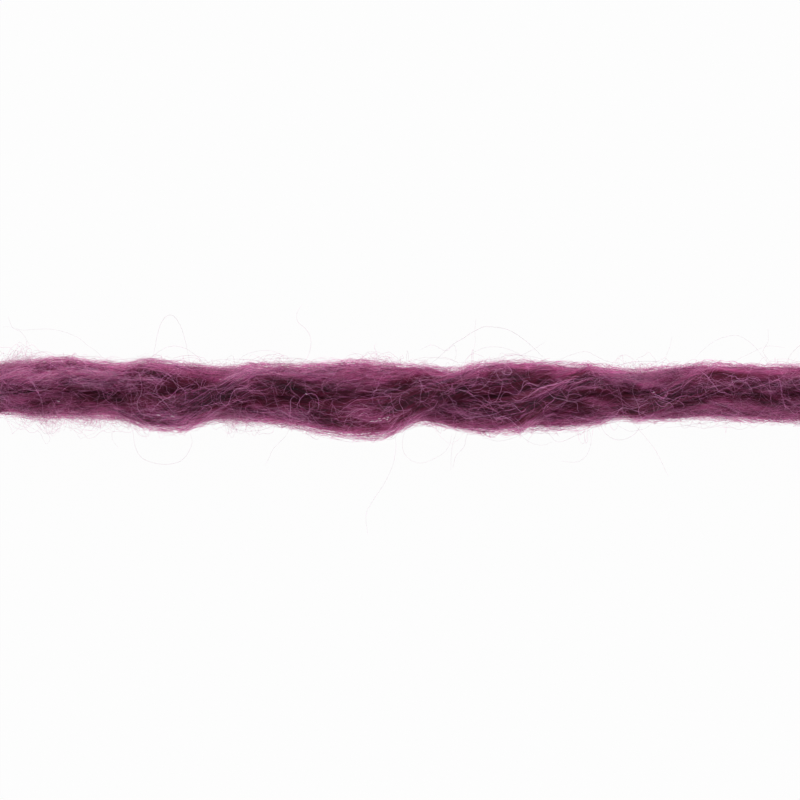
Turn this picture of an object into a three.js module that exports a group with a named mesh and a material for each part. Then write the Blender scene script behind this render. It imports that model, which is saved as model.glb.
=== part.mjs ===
// A cut length of lofty knitting yarn: three soft wool plies twisted loosely about each other,
// thick in some places and thin in others, lying straight on a flat surface.
// Millimetres. +X runs along the strand, +Y is across it and +Z is up from the surface.
// The origin is on the surface, under the middle of the strand.

import * as THREE from 'three';

// Driving dimensions
const LENGTH = 100;          // cut length of the strand
const GAP = 0.33;            // space between neighbouring plies
const PLY_PRESS = 0.68;      // ply centre to its neighbour's wall, as a share of the ply's radius
const LOFT = 0.94;           // height of a section against its width: the strand sags a little
const FLAT_DEPTH = 0.28;     // how deep the surface presses the underside flat
const END_ROUND = 1.6;       // length over which a cut end draws in
const END_DRAW = 0.3;        // share of its size that a ply loses at the cut

// Fineness of the surface
const STEP = 1.2;            // distance between sections along the strand
const END_ROWS = [0, 0.12, 0.45, 1]; // sections in a drawn-in end, as shares of END_ROUND
const SIDES = 22;            // points around each ply
const CORNER = 9;            // higher is a sharper edge between a ply's wall and its outside

// Edges of the strand as seen from above, a row for each swelling, dip and bend.
// upper is the edge on the +Y side and lower the edge on the -Y side.
const EDGES = [
  { x: -50.0, upper: 3.10, lower: -1.80 },
  { x: -45.0, upper: 3.40, lower: -2.05 },
  { x: -40.0, upper: 3.55, lower: -1.63 },
  { x: -36.0, upper: 3.74, lower: -1.95 },
  { x: -32.5, upper: 3.93, lower: -1.98 },
  { x: -28.0, upper: 3.42, lower: -2.12 },
  { x: -24.5, upper: 3.84, lower: -3.02 },
  { x: -22.0, upper: 3.56, lower: -3.16 },
  { x: -18.0, upper: 3.10, lower: -2.18 },
  { x: -14.0, upper: 3.32, lower: -2.46 },
  { x: -10.0, upper: 3.32, lower: -3.00 },
  { x: -7.0, upper: 3.50, lower: -3.62 },
  { x: -4.0, upper: 3.82, lower: -3.93 },
  { x: -2.0, upper: 3.55, lower: -3.78 },
  { x: 2.0, upper: 3.32, lower: -2.58 },
  { x: 6.0, upper: 2.92, lower: -3.20 },
  { x: 8.5, upper: 3.42, lower: -3.47 },
  { x: 12.0, upper: 3.73, lower: -3.22 },
  { x: 16.5, upper: 3.55, lower: -3.10 },
  { x: 20.0, upper: 3.20, lower: -2.50 },
  { x: 22.0, upper: 3.00, lower: -2.00 },
  { x: 24.0, upper: 2.85, lower: -2.19 },
  { x: 26.0, upper: 3.10, lower: -2.26 },
  { x: 30.0, upper: 3.38, lower: -1.96 },
  { x: 36.0, upper: 3.24, lower: -2.30 },
  { x: 40.0, upper: 3.20, lower: -2.42 },
  { x: 45.0, upper: 3.45, lower: -2.75 },
  { x: 50.0, upper: 3.05, lower: -2.30 },
];

// Lift of the three valleys between the plies, in degrees about the strand: 0 faces straight up,
// 90 the +Y side, -90 the -Y side and 180 the surface. The twist is loose and uneven.
const VALLEYS = [
  { x: -50.0, first: -110, second: -240, third: -350 },
  { x: -38.5, first: -42, second: -165, third: -282 },
  { x: -32.0, first: -22, second: -142, third: -260 },
  { x: -26.0, first: -2, second: -116, third: -236 },
  { x: -22.0, first: 24, second: -92, third: -212 },
  { x: -18.0, first: 62, second: -66, third: -184 },
  { x: -15.0, first: 92, second: -30, third: -158 },
  { x: -10.0, first: 124, second: -7, third: -124 },
  { x: -4.0, first: 150, second: 10, third: -106 },
  { x: 0.0, first: 172, second: 29, third: -88 },
  { x: 2.5, first: 190, second: 39, third: -58 },
  { x: 4.5, first: 205, second: 52, third: -18 },
  { x: 8.0, first: 235, second: 86, third: 6 },
  { x: 11.5, first: 275, second: 128, third: 14 },
  { x: 14.5, first: 322, second: 166, third: 28 },
  { x: 18.5, first: 358, second: 212, third: 75 },
  { x: 22.0, first: 364, second: 256, third: 120 },
  { x: 26.0, first: 377, second: 304, third: 165 },
  { x: 29.0, first: 408, second: 332, third: 203 },
  { x: 33.0, first: 448, second: 352, third: 238 },
  { x: 40.0, first: 482, second: 362, third: 256 },
  { x: 50.0, first: 550, second: 430, third: 320 },
];

// Each ply lies between two valleys. turn brings the third ply's second valley round to the first.
const PLIES = [
  { name: 'ply_1', above: 'first', below: 'second', turn: 0, colour: 0x8c3b69 },
  { name: 'ply_2', above: 'second', below: 'third', turn: 0, colour: 0x87386a },
  { name: 'ply_3', above: 'third', below: 'first', turn: -360, colour: 0x903f6c },
];

// A column of a table at x, on a smooth curve through its rows.
function along(table, column, x) {
  const last = table.length - 1;
  let i = 0;
  while (i < last - 1 && x > table[i + 1].x) i += 1;
  const step = (k) => table[k + 1].x - table[k].x;
  const slope = (k) => (table[k + 1][column] - table[k][column]) / step(k);
  const tangent = (k) => {
    if (k === 0) return slope(0);
    if (k === last) return slope(last - 1);
    return (step(k) * slope(k - 1) + step(k - 1) * slope(k)) / (step(k - 1) + step(k));
  };
  const width = step(i);
  const t = THREE.MathUtils.clamp((x - table[i].x) / width, 0, 1);
  const rise = table[i + 1][column] - table[i][column];
  const a = tangent(i) * width - rise;
  const b = rise - tangent(i + 1) * width;
  return table[i][column] + rise * t + t * (1 - t) * (a * (1 - t) + b * t);
}

// Sections along the strand, closer together where the cut ends draw in.
function stations() {
  const ends = END_ROWS.map((share) => LENGTH / 2 - share * END_ROUND);
  const inner = LENGTH - 2 * END_ROUND;
  const count = Math.round(inner / STEP);
  const middle = Array.from({ length: count - 1 }, (_, i) => ((i + 1) / count - 0.5) * inner);
  return [...ends.map((x) => -x), ...middle, ...ends.reverse()];
}

// How much of its size a ply keeps at x: all of it, but near a cut end, which is rounded.
function endSize(x) {
  const inside = Math.min(1, (LENGTH / 2 - Math.abs(x)) / END_ROUND);
  return 1 - END_DRAW * (1 - Math.sqrt(1 - (1 - inside) ** 2));
}

// One ply's section about the strand's centre, in a strand of the given radius: a circle pressed
// flat by its two neighbours, with its edges rounded. mid and half are the ply's middle direction
// and half its share of the turn, in radians.
function plySection(mid, half, radius, size) {
  const share = PLY_PRESS / Math.sin(half);
  const plyRadius = radius / (1 + share);
  const centre = radius - plyRadius;
  const wall = centre * Math.sin(half) - GAP / 2;
  const points = [];
  for (let i = 0; i < SIDES; i += 1) {
    const angle = (i / SIDES) * 2 * Math.PI;
    let sum = (1 / plyRadius) ** CORNER;
    for (const normal of [Math.PI / 2 + half, -Math.PI / 2 - half]) {
      sum += Math.max(0, Math.cos(angle - normal) / wall) ** CORNER;
    }
    const reach = size * sum ** (-1 / CORNER);
    points.push(new THREE.Vector2(
      centre * Math.sin(mid) + reach * Math.sin(mid + angle),
      LOFT * (centre * Math.cos(mid) + reach * Math.cos(mid + angle)),
    ));
  }
  return points;
}

// The sections of all plies at x about the strand's centre, in a strand of the given radius.
function pliesAbout(x, radius, size) {
  return PLIES.map((ply) => {
    const above = THREE.MathUtils.degToRad(along(VALLEYS, ply.above, x));
    const below = THREE.MathUtils.degToRad(along(VALLEYS, ply.below, x) + ply.turn);
    return plySection((above + below) / 2, (above - below) / 2, radius, size);
  });
}

// The sections of all plies at x where they lie: as wide as the strand's edges there, and pressed
// flat where they rest on the surface.
function sectionsAt(x) {
  const upper = along(EDGES, 'upper', x);
  const lower = along(EDGES, 'lower', x);
  const trial = new THREE.Box2().setFromPoints(pliesAbout(x, 1, 1).flat());
  const radius = (upper - lower) / (trial.max.x - trial.min.x);
  const full = new THREE.Box2().setFromPoints(pliesAbout(x, radius, 1).flat());
  const across = (upper + lower - full.max.x - full.min.x) / 2;
  const up = -full.min.y - FLAT_DEPTH;
  return pliesAbout(x, radius, endSize(x)).map((points) => points.map(
    (p) => new THREE.Vector3(x, p.x + across, Math.max(0, p.y + up)),
  ));
}

// A closed skin through one ply's sections, with a fan of triangles over each cut end.
function plySkin(rings) {
  const vertices = rings.flat();
  const faces = [];
  for (let row = 0; row < rings.length - 1; row += 1) {
    for (let i = 0; i < SIDES; i += 1) {
      const a = row * SIDES + i;
      const b = row * SIDES + ((i + 1) % SIDES);
      faces.push(a, a + SIDES, b, b, a + SIDES, b + SIDES);
    }
  }
  const lastRow = (rings.length - 1) * SIDES;
  const middleOf = (ring) => ring
    .reduce((sum, p) => sum.add(p), new THREE.Vector3())
    .divideScalar(ring.length);
  const start = vertices.push(middleOf(rings[0])) - 1;
  const finish = vertices.push(middleOf(rings[rings.length - 1])) - 1;
  for (let i = 0; i < SIDES; i += 1) {
    const next = (i + 1) % SIDES;
    faces.push(start, i, next);
    faces.push(finish, lastRow + next, lastRow + i);
  }
  const geometry = new THREE.BufferGeometry().setFromPoints(vertices);
  geometry.setIndex(faces);
  geometry.computeVertexNormals();
  return geometry;
}

function buildStrand() {
  const strand = new THREE.Group();
  const sections = stations().map(sectionsAt);
  PLIES.forEach((ply, k) => {
    const wool = new THREE.MeshStandardMaterial({
      color: ply.colour,
      roughness: 0.95,
      metalness: 0,
    });
    const mesh = new THREE.Mesh(plySkin(sections.map((section) => section[k])), wool);
    mesh.name = ply.name;
    strand.add(mesh);
  });
  return strand;
}

export default buildStrand();
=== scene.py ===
"""Knitting yarn: a cut length of one lofty, loosely plied wool strand on a white table.

Each ply is a soft core with a coat of wool fibres laid along it in locks. Over the coat lie curly
stray fibres, short fuzz stands out all round, a few long fibres float off to the sides, and the
cut ends are frayed. Shapes are worked out in millimetres and made in metres.
"""

import math

import bpy
import numpy as np
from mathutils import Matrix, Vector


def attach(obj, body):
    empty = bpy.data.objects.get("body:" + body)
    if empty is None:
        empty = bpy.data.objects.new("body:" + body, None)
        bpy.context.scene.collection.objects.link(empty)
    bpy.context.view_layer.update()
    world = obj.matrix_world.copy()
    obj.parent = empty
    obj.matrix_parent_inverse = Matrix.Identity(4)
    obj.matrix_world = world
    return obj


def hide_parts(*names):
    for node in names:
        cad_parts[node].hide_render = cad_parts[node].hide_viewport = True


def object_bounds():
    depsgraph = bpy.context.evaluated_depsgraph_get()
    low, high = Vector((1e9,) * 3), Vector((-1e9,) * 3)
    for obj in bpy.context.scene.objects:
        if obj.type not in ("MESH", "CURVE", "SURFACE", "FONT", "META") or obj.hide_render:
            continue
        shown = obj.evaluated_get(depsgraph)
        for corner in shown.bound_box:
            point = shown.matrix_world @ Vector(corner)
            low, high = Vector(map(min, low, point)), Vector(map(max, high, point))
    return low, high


bl_info = {
    "name": "Knitting yarn",
    "version": (1, 0, 0),
    "blender": (4, 5, 0),
    "location": "3D View > Sidebar > Yarn",
    "description": "Builds a hairy, loosely plied strand of knitting yarn",
    "category": "Add Mesh",
}

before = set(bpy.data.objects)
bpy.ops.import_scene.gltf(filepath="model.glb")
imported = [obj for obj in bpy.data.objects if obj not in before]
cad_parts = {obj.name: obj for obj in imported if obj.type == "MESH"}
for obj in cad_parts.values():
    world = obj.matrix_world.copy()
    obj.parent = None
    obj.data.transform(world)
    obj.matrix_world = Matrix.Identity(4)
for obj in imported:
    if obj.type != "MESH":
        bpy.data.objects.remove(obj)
cad_low, cad_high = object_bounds()

MM = 0.001
LENGTH = (cad_high.x - cad_low.x) / MM

# Keeps a length of zero from being divided by.
TINY = 1e-12

# The camera stands straight over the strand. Millimetres.
PHOTO_SCALE = 0.1
PHOTO_MIDDLE = 400
PHOTO_LEVEL = 3.0
LENS = 100.0
SENSOR = 36.0
CAMERA_AIM = (0.0, -0.18)
CAMERA_AWAY = LENS / SENSOR * 2 * PHOTO_MIDDLE * PHOTO_SCALE + PHOTO_LEVEL

# Make of the strand, as in the solid plies. Millimetres.
PLY_SPACE = 0.33
PLY_PRESS = 0.68
LOFT = 0.94
FLAT_DEPTH = 0.28
CORNER = 9
SIDES = 22
END_ROUND = 1.6
END_DRAW = 0.3

# The piece that carries all the others.
CORE = "yarn_strand"

# The tone of the lightest wool, where the deepest is 0 and pale wool is 1. Tones past pale are
# mostly painted highlights and painted glow.
LIGHTEST = 1.5

# A fibre is a tube. It loses a share of its thickness at its tips, and a higher power keeps that
# to the very tips.
TUBE_SIDES = 3
TIP_LOSS = 0.55
TIP_POWER = 4

# Least height over the table of a fibre's middle line and of its skin. Millimetres.
LINE_FLOOR = 0.03
SKIN_FLOOR = 0.004

# Each fibre has a cell of the bake's map, so many times longer than wide. Where a fibre starts in
# its cell and how much it is short of it, in its own steps, and the same across, as shares.
CELL_STRETCH = 4
CELL_ALONG = (0.2, 0.6)
CELL_ACROSS = (0.15, 0.7)

# Fibres are left out where the wool is open, by this power of how open it is.
OPEN_POWER = 1.5

# Keeps thin wool and thick cores to the sides. A higher power keeps them closer.
SIDE_POWER = 3

# The underside lies on the surface and needs fewer fibres.
UNDER_TURN = 0.35
UNDER_SHARE = 0.25

# How thin the wool is all along the +Y side and the -Y side, 0 to 1, and the share of it under
# the sides, with how soon it falls to that share. The thin wool is also painted paler as a glow,
# more on the +Y side, where the light is stronger.
UPPER_THIN_GLOW = 0.46
LOWER_THIN_GLOW = 0.42
UNDER_THIN_GLOW = 0.4
UNDER_STEEP = 2

# Edges of the strand from above, at each swelling, dip and bend.
EDGES = (
    ("x", "upper", "lower"),
    (-50.0, 3.10, -1.80),
    (-45.0, 3.40, -2.05),
    (-40.0, 3.55, -1.63),
    (-36.0, 3.74, -1.95),
    (-32.5, 3.93, -1.98),
    (-28.0, 3.42, -2.12),
    (-24.5, 3.84, -3.02),
    (-22.0, 3.56, -3.16),
    (-18.0, 3.10, -2.18),
    (-14.0, 3.32, -2.46),
    (-10.0, 3.32, -3.00),
    (-7.0, 3.50, -3.62),
    (-4.0, 3.82, -3.93),
    (-2.0, 3.55, -3.78),
    (2.0, 3.32, -2.58),
    (6.0, 2.92, -3.20),
    (8.5, 3.42, -3.47),
    (12.0, 3.73, -3.22),
    (16.5, 3.55, -3.10),
    (20.0, 3.20, -2.50),
    (22.0, 3.00, -2.00),
    (24.0, 2.85, -2.19),
    (26.0, 3.10, -2.26),
    (30.0, 3.38, -1.96),
    (36.0, 3.24, -2.30),
    (40.0, 3.20, -2.42),
    (45.0, 3.45, -2.75),
    (50.0, 3.05, -2.30),
)

# Lift of the valleys between the plies, in degrees: 0 faces up and 90 the +Y side.
VALLEYS = (
    ("x", "first", "second", "third"),
    (-50.0, -110, -240, -350),
    (-38.5, -42, -165, -282),
    (-32.0, -22, -142, -260),
    (-26.0, -2, -116, -236),
    (-22.0, 24, -92, -212),
    (-18.0, 62, -66, -184),
    (-15.0, 92, -30, -158),
    (-10.0, 124, -7, -124),
    (-4.0, 150, 10, -106),
    (0.0, 172, 29, -88),
    (2.5, 190, 39, -58),
    (4.5, 205, 52, -18),
    (8.0, 235, 86, 6),
    (11.5, 275, 128, 14),
    (14.5, 322, 166, 28),
    (18.5, 358, 212, 75),
    (22.0, 364, 256, 120),
    (26.0, 377, 304, 165),
    (29.0, 408, 332, 203),
    (33.0, 448, 352, 238),
    (40.0, 482, 362, 256),
    (50.0, 550, 430, 320),
)

# Each ply lies between two valleys; turn brings the first valley round again.
PLIES = (
    ("node", "above", "below", "turn"),
    ("ply_1", "first", "second", 0),
    ("ply_2", "second", "third", 0),
    ("ply_3", "third", "first", -360),
)

# Dark openings between the fibres, as the photo shows them: the wool is sunk and thinned there,
# and its tone is lowered as painted shade. Pixels of the photo: middle, half length and half
# width. tilt is in degrees, with a rise to the right above 0, and deep is 0 to 1 and sets both
# how far the wool sinks and how dark the painted shade is.
OPENINGS_AND_SHADE = (
    ("px", "py", "long", "wide", "tilt", "deep"),
    (46, 408, 18, 4.5, 6, 0.85),
    (46, 366, 14, 2.5, 5, 0.4),
    (89, 364, 20, 2.5, -3, 0.3),
    (74, 387, 16, 9, -40, 0.55),
    (92, 401, 18, 6, 0, 0.95),
    (110, 400, 28, 6.5, 0, 1),
    (142, 396, 20, 4.5, 2, 0.7),
    (166, 392, 13, 5, 30, 0.9),
    (186, 384, 28, 10, 14, 1),
    (206, 381, 18, 8, -10, 1),
    (205, 376, 16, 5, 0, 0.9),
    (214, 402, 20, 5, -4, 0.6),
    (217, 410, 16, 4.5, 0, 0.7),
    (236, 407, 14, 5.5, -12, 0.9),
    (262, 380, 14, 4, 0, 0.3),
    (290, 386, 26, 8, -16, 1),
    (299, 378, 14, 4, 0, 0.6),
    (262, 400, 20, 6, -10, 0.85),
    (264, 408, 16, 4, 0, 0.8),
    (300, 402, 22, 6, 2, 1),
    (400, 410, 16, 4, 0, 0.8),
    (320, 397, 18, 5.5, 4, 0.85),
    (341, 402, 14, 5, 0, 0.8),
    (346, 392, 20, 5, 12, 0.75),
    (372, 389, 16, 5, 20, 0.75),
    (392, 383, 18, 4.5, 14, 0.95),
    (404, 402, 32, 8, -3, 1),
    (408, 379, 14, 4.5, -10, 0.6),
    (445, 397, 14, 6, 0, 0.85),
    (468, 392, 22, 7, -28, 0.95),
    (498, 396, 24, 5.5, 5, 1),
    (524, 383, 26, 7, 4, 1),
    (529, 384, 12, 4.5, 0, 1),
    (560, 399, 18, 6, 10, 1),
    (582, 394, 24, 5, 4, 0.95),
    (579, 411, 18, 5.5, -8, 0.65),
    (614, 397, 20, 6.5, 2, 1),
    (642, 391, 22, 6.5, 6, 1),
    (632, 384, 14, 5, -12, 0.75),
    (655, 408, 32, 8, 2, 0.7),
    (690, 405, 18, 6, 10, 1),
    (672, 409, 14, 5, 0, 1),
    (706, 394, 14, 8, -30, 0.6),
    (722, 410, 16, 3, -6, 0.55),
    (728, 373, 34, 6, 0, 0.6),
    (736, 395, 18, 4.5, 0, 0.7),
    (757, 398, 14, 6, -10, 0.95),
    (791, 394, 14, 5, 0, 0.6),
    (205, 395, 44, 18, 0, 0.4),
    (300, 394, 50, 16, -4, 0.35),
    (410, 392, 40, 18, 0, 0.45),
    (505, 388, 36, 18, 0, 0.45),
    (525, 412, 44, 8, 0, 0.4),
    (540, 417, 44, 6, 0, 0.65),
    (650, 415, 30, 7, 0, 1),
    (535, 375, 46, 8, 0, 0.75),
    (585, 378, 20, 5, 0, 0.5),
    (335, 424, 34, 6, 0, 0.5),
    (432, 375, 26, 6, 0, 0.7),
    (425, 402, 24, 8, 0, 0.2),
    (423, 409, 16, 4.5, 0, 0.8),
    (440, 376, 16, 5, 0, 0.9),
    (579, 370, 14, 4, 0, 0.9),
    (640, 398, 50, 14, 2, 0.35),
    (650, 396, 14, 5, 0, 0.9),
    (110, 392, 40, 12, 0, 0.35),
    (533, 408, 20, 8, -20, 0.8),
    (325, 409, 30, 7, 0, 0.4),
    (160, 371, 30, 7, 0, 0.75),
    (450, 419, 24, 6, 0, 0.45),
)

# Locks that stand up into the light, measured like the openings: they are raised a little and
# their tone is raised as a painted highlight. high is 1 for a highlight in the pale wool's colour
# and more for one in the lightest wool's colour.
RIDGES_AND_HIGHLIGHTS = (
    ("px", "py", "long", "wide", "tilt", "high"),
    (64, 377, 60, 9, -5, 1.6),
    (14, 374, 34, 12, 0, 1.1),
    (104, 374, 28, 10, 0, 1.4),
    (15, 406, 16, 4, 0, 0.5),
    (174, 419, 24, 7, 0, 1.2),
    (130, 412, 20, 5, 0, 0.6),
    (165, 380, 12, 3.5, 52, 0.7),
    (228, 383, 28, 4, -16, 0.5),
    (270, 371, 55, 6, 0, 1),
    (330, 370, 34, 7, 8, 0.5),
    (362, 380, 24, 4, 25, 0.5),
    (378, 376, 16, 4, 40, 0.5),
    (366, 412, 26, 6, 10, 0.6),
    (376, 421, 16, 5, 8, 0.8),
    (424, 389, 20, 3, -10, 0.4),
    (548, 389, 24, 3.5, 24, 0.7),
    (575, 381, 18, 4, 12, 0.5),
    (592, 403, 24, 3, -12, 0.6),
    (624, 377, 40, 8, -8, 1.4),
    (785, 373, 24, 8, 0, 0.1),
    (640, 401, 12, 2, 6, 0.4),
    (722, 409, 26, 6, 4, 1),
    (756, 411, 34, 4, -6, 0.7),
    (728, 368, 30, 4, 0, 0.6),
    (688, 376, 34, 7, -8, 0.3),
    (8, 404, 24, 6, 0, 1.6),
    (242, 376, 18, 7, 0, 1),
    (153, 374, 18, 5, 0, 1.3),
    (30, 401, 14, 4, 0, 0.6),
    (451, 413, 18, 5, 0, 0.8),
    (770, 391, 16, 6, 30, 0.8),
    (795, 406, 14, 5, 0, 0.9),
    (290, 417, 24, 6, 0, 1.3),
    (90, 372, 26, 6, 0, 1.8),
)

# Places at the sides where the wool is so thin that light comes through it: the wool is sunk and
# thinned there, and its tone is raised as a painted glow. Where along the photo, on which side,
# half length in pixels of the photo and how thin. 1 is thin, and more paints more of the glow.
THIN_SIDES_AND_GLOW = (
    ("px", "side", "long", "thin"),
    (-70, 1, 24, 0.6),
    (24, 1, 26, 0.9),
    (63, 1, 20, 1.3),
    (90, 1, 24, 1),
    (120, 1, 16, 1.2),
    (192, 1, 14, 0.6),
    (216, 1, 22, 1.1),
    (260, 1, 24, 1.25),
    (306, 1, 24, 1.2),
    (355, 1, 18, 0.8),
    (373, 1, 14, 0.8),
    (400, 1, 10, 0.4),
    (474, 1, 16, 1.3),
    (615, 1, 16, 0.7),
    (653, 1, 20, 1.2),
    (724, 1, 14, 0.9),
    (690, 1, 14, 0.5),
    (795, 1, 16, 0.1),
    (860, 1, 20, 0.6),
    (-60, -1, 20, 0.4),
    (10, -1, 16, 0.7),
    (62, -1, 24, 0.9),
    (106, -1, 24, 1.1),
    (160, -1, 24, 0.4),
    (272, -1, 20, 0.9),
    (294, -1, 16, 0.5),
    (480, -1, 20, 0.2),
    (710, -1, 20, 0.6),
    (740, -1, 18, 0.8),
    (850, -1, 20, 0.4),
)

# Tufts of fuzz beside the strand: where along the photo, on which side, half length in pixels of
# the photo, how far they stand out in millimetres and how dense they are.
TUFTS = (
    ("px", "side", "long", "tall", "dense"),
    (14, 1, 20, 0.65, 2.6),
    (62, 1, 14, 0.25, 0.6),
    (112, 1, 16, 0.25, 1),
    (152, 1, 14, 0.25, 0.7),
    (196, 1, 14, 0.25, 0.7),
    (235, 1, 20, 0.4, 1.6),
    (280, 1, 20, 0.35, 1.2),
    (318, 1, 14, 0.3, 0.7),
    (380, 1, 20, 0.45, 2.2),
    (425, 1, 18, 0.35, 0.5),
    (474, 1, 14, 0.35, 0.9),
    (505, 1, 16, 0.25, 0.5),
    (640, 1, 18, 0.5, 1.5),
    (665, 1, 14, 0.3, 0.5),
    (788, 1, 14, 0.35, 0.8),
    (22, -1, 16, 0.5, 0.8),
    (48, -1, 14, 0.9, 1.4),
    (88, -1, 26, 0.7, 2.8),
    (130, -1, 16, 0.45, 1),
    (232, -1, 14, 0.8, 2.2),
    (258, -1, 22, 0.35, 1),
    (306, -1, 16, 0.3, 0.6),
    (430, -1, 16, 0.35, 0.4),
    (535, -1, 22, 0.35, 0.5),
    (590, -1, 18, 0.4, 0.8),
    (698, -1, 20, 0.35, 1),
    (730, -1, 14, 0.3, 0.7),
)

# Long stray fibres that curl over the strand, from the photo. Pixels of the photo.
CURLS = (
    ((24, 366), (31, 375), (37, 383), (41, 391), (44, 399), (45, 410), (44, 418)),
    ((9, 366), (8, 377), (4, 387), (4, 394), (10, 402), (20, 408)),
    ((48, 361), (55, 365), (62, 369), (72, 371)),
    ((104, 376), (116, 374), (133, 372), (144, 373), (152, 371)),
    (
        (141, 370), (143, 377), (145, 387), (144, 394), (140, 402), (142, 411), (148, 415),
        (158, 417),
    ),
    ((157, 396), (166, 398), (172, 398), (179, 391), (188, 387), (196, 384)),
    ((153, 414), (158, 408), (165, 401), (172, 398), (178, 396)),
    (
        (171, 380), (175, 378), (184, 377), (191, 378), (198, 383), (208, 389), (238, 389),
        (248, 391),
    ),
    ((104, 378), (105, 384), (106, 389), (110, 393), (116, 395)),
    ((156, 395), (159, 388), (164, 381), (171, 374), (179, 369), (188, 367)),
    ((160, 393), (165, 385), (173, 377), (182, 371), (192, 369)),
    ((229, 372), (233, 382), (235, 389), (238, 398), (244, 404)),
    ((299, 410), (299, 404), (301, 399), (307, 394), (315, 394), (319, 399), (320, 408)),
    ((329, 375), (326, 380), (323, 386), (324, 393)),
    ((392, 367), (389, 371), (381, 382), (376, 389), (373, 397), (373, 404)),
    ((386, 372), (380, 380), (378, 388), (371, 396)),
    ((338, 414), (342, 411), (353, 402), (366, 399), (379, 397), (392, 396)),
    ((408, 375), (413, 377), (419, 379), (422, 387), (424, 391), (430, 393)),
    ((478, 370), (477, 376), (474, 383), (470, 388)),
    (
        (494, 368), (496, 377), (501, 383), (498, 394), (494, 402), (489, 401), (487, 394),
        (489, 387),
    ),
    ((506, 366), (510, 371), (508, 375), (504, 375), (500, 372)),
    ((455, 392), (452, 388), (451, 384), (456, 384), (465, 383), (474, 381)),
    (
        (450, 398), (452, 402), (456, 410), (460, 415), (466, 419), (477, 417), (489, 415),
        (500, 411),
    ),
    ((520, 377), (526, 383), (532, 389), (540, 391)),
    ((558, 412), (561, 406), (565, 401), (567, 394)),
    ((527, 396), (535, 390), (546, 386), (560, 383), (574, 382)),
    ((530, 394), (541, 387), (553, 385), (566, 380), (580, 379)),
    ((608, 372), (611, 377), (617, 388), (620, 399), (621, 410), (624, 416)),
    (
        (655, 372), (656, 379), (659, 387), (664, 393), (670, 394), (677, 391), (682, 383),
        (683, 377),
    ),
    ((695, 368), (699, 371), (706, 379), (712, 387), (717, 392), (727, 394)),
    ((743, 391), (747, 389), (759, 385), (768, 382), (779, 377), (784, 371)),
    ((765, 378), (766, 387), (767, 396), (768, 406)),
    ((774, 375), (776, 382), (778, 392), (780, 402), (782, 410)),
    ((722, 378), (730, 376), (738, 381), (746, 378), (756, 380)),
)

# Tiny near-white flecks that are painted glints on the fibres, from the photo: where, and how
# long. Pixels of the photo.
PAINTED_GLINTS = (
    ("px", "py", "long"),
    (61, 401.4, 2.4),
    (162, 415, 3.6),
    (176, 416.3, 3.8),
    (221, 379.4, 2.2),
    (307.4, 394.3, 2.2),
    (372.6, 421.2, 3.6),
    (376.8, 420.8, 2.6),
    (380.6, 420.4, 3),
    (379.6, 418.6, 2.4),
    (384.2, 418.2, 3.2),
    (387.4, 419.2, 2),
    (388.2, 417.2, 2.6),
    (652.3, 392.4, 2.2),
)

# Long fibres that float beside the strand, from the photo. Pixels of the photo.
HALO = (
    (
        (2, 327), (10, 327), (22, 330), (38, 329), (57, 330), (77, 337), (87, 345), (97, 352),
        (108, 364),
    ),
    ((8, 316), (10, 322), (13, 328), (22, 333), (30, 346)),
    ((110, 418), (115, 428), (112, 434), (113, 441), (118, 447)),
    (
        (128, 421), (133, 433), (135, 446), (142, 458), (159, 464), (176, 463), (186, 456),
        (192, 443), (190, 432),
    ),
    (
        (302, 305), (297, 313), (298, 322), (305, 328), (310, 336), (311, 345), (308, 356),
        (302, 366),
    ),
    ((232, 366), (245, 355), (259, 351), (271, 351), (282, 355), (290, 360), (300, 367)),
    ((214, 368), (226, 360), (233, 359), (251, 360), (263, 362), (276, 368)),
    ((292, 424), (287, 434), (282, 440), (273, 449), (269, 458), (265, 466)),
    ((316, 425), (331, 436), (340, 440), (353, 442), (366, 439), (374, 430)),
    ((393, 425), (396, 445), (393, 464), (384, 484), (372, 502), (366, 516), (368, 536)),
    (
        (408, 424), (403, 438), (403, 450), (409, 459), (419, 463), (429, 461), (442, 454),
        (449, 446), (452, 434),
    ),
    ((458, 424), (455, 436), (452, 447), (451, 459), (451, 470)),
    ((470, 428), (466, 438), (464, 447), (456, 456), (453, 468)),
    ((508, 426), (519, 433), (525, 439), (534, 444), (544, 445), (554, 441)),
    ((540, 424), (549, 434), (559, 442), (579, 434), (589, 430), (604, 420)),
    ((586, 424), (590, 433), (591, 443), (586, 456), (576, 462), (560, 461)),
    ((476, 318), (475, 331), (475, 344), (472, 356), (474, 370)),
    ((494, 366), (512, 360), (522, 355), (534, 349), (545, 342)),
    ((640, 372), (664, 361), (666, 356), (670, 346), (672, 336)),
    ((768, 329), (768, 341), (765, 347), (763, 352), (767, 358), (775, 368)),
    ((810, 338), (798, 347), (791, 354), (788, 361), (790, 372)),
    ((730, 366), (740, 358), (747, 355), (757, 350), (770, 346), (786, 348)),
    ((630, 420), (640, 431), (651, 444), (657, 453), (663, 465), (668, 476)),
    ((20, 420), (32, 428), (40, 433), (46, 444), (50, 438), (44, 428), (38, 416)),
    ((600, 424), (606, 434), (618, 440), (632, 436), (640, 426), (638, 414)),
    ((420, 350), (432, 345), (446, 351), (454, 345), (456, 356), (450, 370)),
)


def columns(table):
    """The table's columns by name, as arrays."""
    return {name: np.array(values, float) for name, *values in zip(*table)}


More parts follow.
